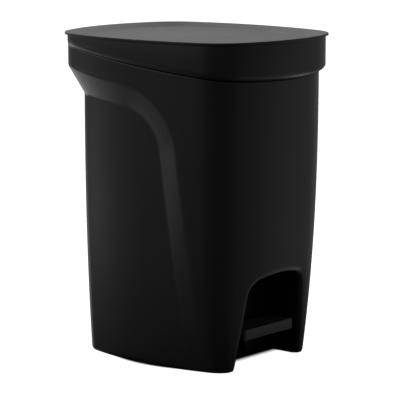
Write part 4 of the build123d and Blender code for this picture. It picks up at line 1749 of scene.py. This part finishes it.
@dataclass
class Studio:
    """Pale floor, pale surround, soft light and the camera; its sizes are in metres."""

    floor_radius: float = 7.0
    floor_low: Triple = (0.78, 0.78, 0.78)
    floor_high: Triple = (0.8, 0.8, 0.8)
    floor_rough: float = 0.9
    speck_mm: float = 3.0
    # Painted contact shadow: the reach at which the floor's glow goes from dark to full.
    painted_contact_shadow: Stops = ((0.755, 1.0), (0.795, 0.0))
    niche_back: float = -0.066
    niche_soft: float = 0.012
    disc_steps: int = 96
    # Size and strength of the painted shade sheet round the bin.
    shade_x: float = 0.122
    shade_y: float = 0.146
    shade_reach: float = 5.0
    shade_drop: float = 0.0005
    shade_tint: Triple = (0.01, 0.01, 0.01)
    shade_front: Stops = ((0.5, 0.4), (1.0, 1.0))
    shade_stops: Stops = (
        (0.16, 1.0),
        (0.18, 0.66),
        (0.34, 0.45),
        (0.51, 0.36),
        (0.69, 0.25),
        (0.86, 0.12),
        (1.0, 0.0),
    )
    dome_radius: float = 11.0
    ambient: float = 0.056
    panels: tuple[SoftPanel, ...] = (
        SoftPanel(118.0, -10.0, 13.6, 3.2, 0.285),
        SoftPanel(108.0, -9.4, 7.0, 3.2, 0.37),
        SoftPanel(158.7, 14.6, 25.0, 42.9, 0.15),
        SoftPanel(315.0, -24.0, 37.2, 45.0, 0.194),
        SoftPanel(76.4, -20.0, 14.2, 8.4, 1.34),
        SoftPanel(89.0, 22.0, 60.0, 17.4, 1.18),
        SoftPanel(115.3, -22.0, 13.7, 9.0, 0.17),
        SoftPanel(45.8, -35.6, 46.8, 7.4, 1.16),
        SoftPanel(134.0, -36.4, 8.4, 14.3, 0.21),
        SoftPanel(13.0, -7.0, 8.4, 8.8, 0.19),
        SoftPanel(43.6, -52.3, 60.0, 7.9, 0.39),
    )
    lamp_place: Triple = (0.3, 0.4, 2.6)
    lamp_size: float = 2.4
    lamp_watts: float = 9.0
    camera_place: Triple = (-1.8796, -1.5641, 0.5795)
    camera_bearing: float = -50.335
    camera_rise: float = 9.369
    lens_mm: float = 193.77
    sensor_mm: float = 36.0
    clip_end: float = 100.0

    def _disc(self, radius: float) -> bmesh.types.BMesh:
        """A flat round sheet on the floor.

        Args:
            radius: its radius, in metres.

        Returns:
            The sheet.
        """
        bm = bmesh.new()
        bmesh.ops.create_circle(bm, cap_ends=True, segments=self.disc_steps, radius=radius)
        return bm

    def _reach(self, x: Value, y: Value) -> Value:
        """Distance from the middle, as a share of the shaded oval."""
        across, along = x / self.shade_x, y / self.shade_y
        return (across * across + along * along) ** 0.5

    def _floor(self) -> None:
        """Pale floor with a painted shadow under the bin and round its foot, behind the niche."""
        floor = piece_of(self._disc(self.floor_radius), "floor")
        board = Board.of("floor_paint")
        speck = board.fade(board.noise(self.speck_mm, detail=3.0), 0.3, 0.7)
        x, y, _ = board.parts(board.place())
        # Painted shadow: the floor's emission is darkened under and just round the bin's foot, only
        # behind the niche's back wall line.
        behind = (y - self.niche_back) / self.niche_soft + 1.0
        shade = board.ramp(self._reach(x, y), self.painted_contact_shadow) * board.fade(behind, 0.1, 0.9)
        paint_mix = {
            "Base Color": board.tint(speck, self.floor_low, self.floor_high),
            "Roughness": self.floor_rough,
            "Emission Color": board.tint(shade, WHITE, BLACK),
            "Emission Strength": 1.0,
        }
        floor.data.materials.append(board.close(paint_mix))
        floor.visible_diffuse = False
        floor.visible_glossy = False

    def _footing(self) -> None:
        """Soft shade on the floor round the bin, seen only in its plastic and in the niche."""
        # Painted shade: a dark sheet under the floor stands in for the floor's shadow round the
        # bin, seen only in reflections and the niche.
        bm = self._disc(self.shade_reach)
        bmesh.ops.scale(bm, vec=(self.shade_x, self.shade_y, 1.0), verts=bm.verts)
        bmesh.ops.translate(bm, vec=(0.0, 0.0, -self.shade_drop), verts=bm.verts)
        footing = piece_of(bm, "footing")
        board = Board.of("footing_shade")
        x, y, _ = board.parts(board.place())
        front = board.ramp(y / self.shade_y + 2.0, self.shade_front)
        round_bin = board.ramp(self._reach(x, y) / self.shade_reach, self.shade_stops)
        clear = board.add("ShaderNodeBsdfTransparent", {}, {})
        dark = board.add("ShaderNodeBsdfDiffuse", {}, {"Color": (*self.shade_tint, 1.0)})
        sockets = {0: round_bin * front, 1: clear.outputs[0], 2: dark.outputs[0]}
        footing.data.materials.append(board.show(board.add("ShaderNodeMixShader", {}, sockets)))
        footing.visible_camera = False

    def _dome(self) -> None:
        """White surround that only the camera sees."""
        bm = bmesh.new()
        bmesh.ops.create_uvsphere(bm, u_segments=48, v_segments=24, radius=self.dome_radius)
        dome = piece_of(bm, "surround")
        board = Board.of("surround_white")
        sockets = {"Color": (*WHITE, 1.0), "Strength": 1.0}
        dome.data.materials.append(board.show(board.add("ShaderNodeEmission", {}, sockets)))
        dome.visible_diffuse = False
        dome.visible_glossy = False
        dome.visible_transmission = False
        dome.visible_shadow = False

    def _light(self) -> None:
        """Soft panels all round, and one overhead light."""
        world = bpy.data.worlds.new("studio")
        board = Board(world)
        x, y, z = board.parts(board.add("ShaderNodeTexCoord", {}, {}).outputs["Generated"])
        level = (x * x + y * y + TINY) ** 0.5
        arc = board.add("ShaderNodeMath", {"operation": "ARCSINE"}, {0: z})
        rise = Value(board, arc.outputs[0])
        light: Any = self.ambient
        for panel in self.panels:
            light = light + panel.light(x / level, y / level, rise)
        sockets = {"Color": (*WHITE, 1.0), "Strength": light}
        sky = board.add("ShaderNodeBackground", {}, sockets)
        board.add("ShaderNodeOutputWorld", {}, {"Surface": sky.outputs[0]})
        bpy.context.scene.world = world
        lamp = bpy.data.lights.new("overhead", "AREA")
        lamp.shape = "DISK"
        lamp.size = self.lamp_size
        lamp.energy = self.lamp_watts
        overhead = in_scene("overhead", lamp)
        overhead.location = self.lamp_place
        overhead.visible_camera = False

    def _camera(self) -> None:
        """Camera at the photograph's angle."""
        a, e = math.radians(self.camera_bearing), math.radians(self.camera_rise)
        back = Vector((math.sin(a) * math.cos(e), -math.cos(a) * math.cos(e), math.sin(e)))
        data = bpy.data.cameras.new("camera")
        data.lens = self.lens_mm
        data.sensor_width = self.sensor_mm
        data.clip_end = self.clip_end
        camera = in_scene("camera", data)
        camera.location = self.camera_place
        camera.rotation_mode = "QUATERNION"
        camera.rotation_quaternion = (-back).to_track_quat("-Z", "Y")
        bpy.context.scene.camera = camera

    def build(self) -> None:
        """Makes the surround, the light and the camera."""
        settings = bpy.context.scene.view_settings
        settings.view_transform = "Standard"
        settings.look = "None"
        self._floor()
        self._footing()
        self._dome()
        self._light()
        self._camera()


def write_sizes() -> None:
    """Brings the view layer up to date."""
    bpy.context.view_layer.update()


def main() -> None:
    """Builds the bin's pieces and the studio in order."""
    logging.basicConfig(level=logging.INFO, format="%(name)s %(message)s")
    for finish in FINISHES.values():
        finish.material()
    casing, niche, hinge = Casing(), Niche(), Hinge()
    Studio().build()
    casing.build(niche, hinge, FlangeCuts())
    niche.build(casing)
    Collar().build(casing, hinge)
    hinge.build()
    Lid().build()
    Tread().build()
    CarriedNodes().dress()
    write_sizes()


if __name__ == "__main__":
    main()
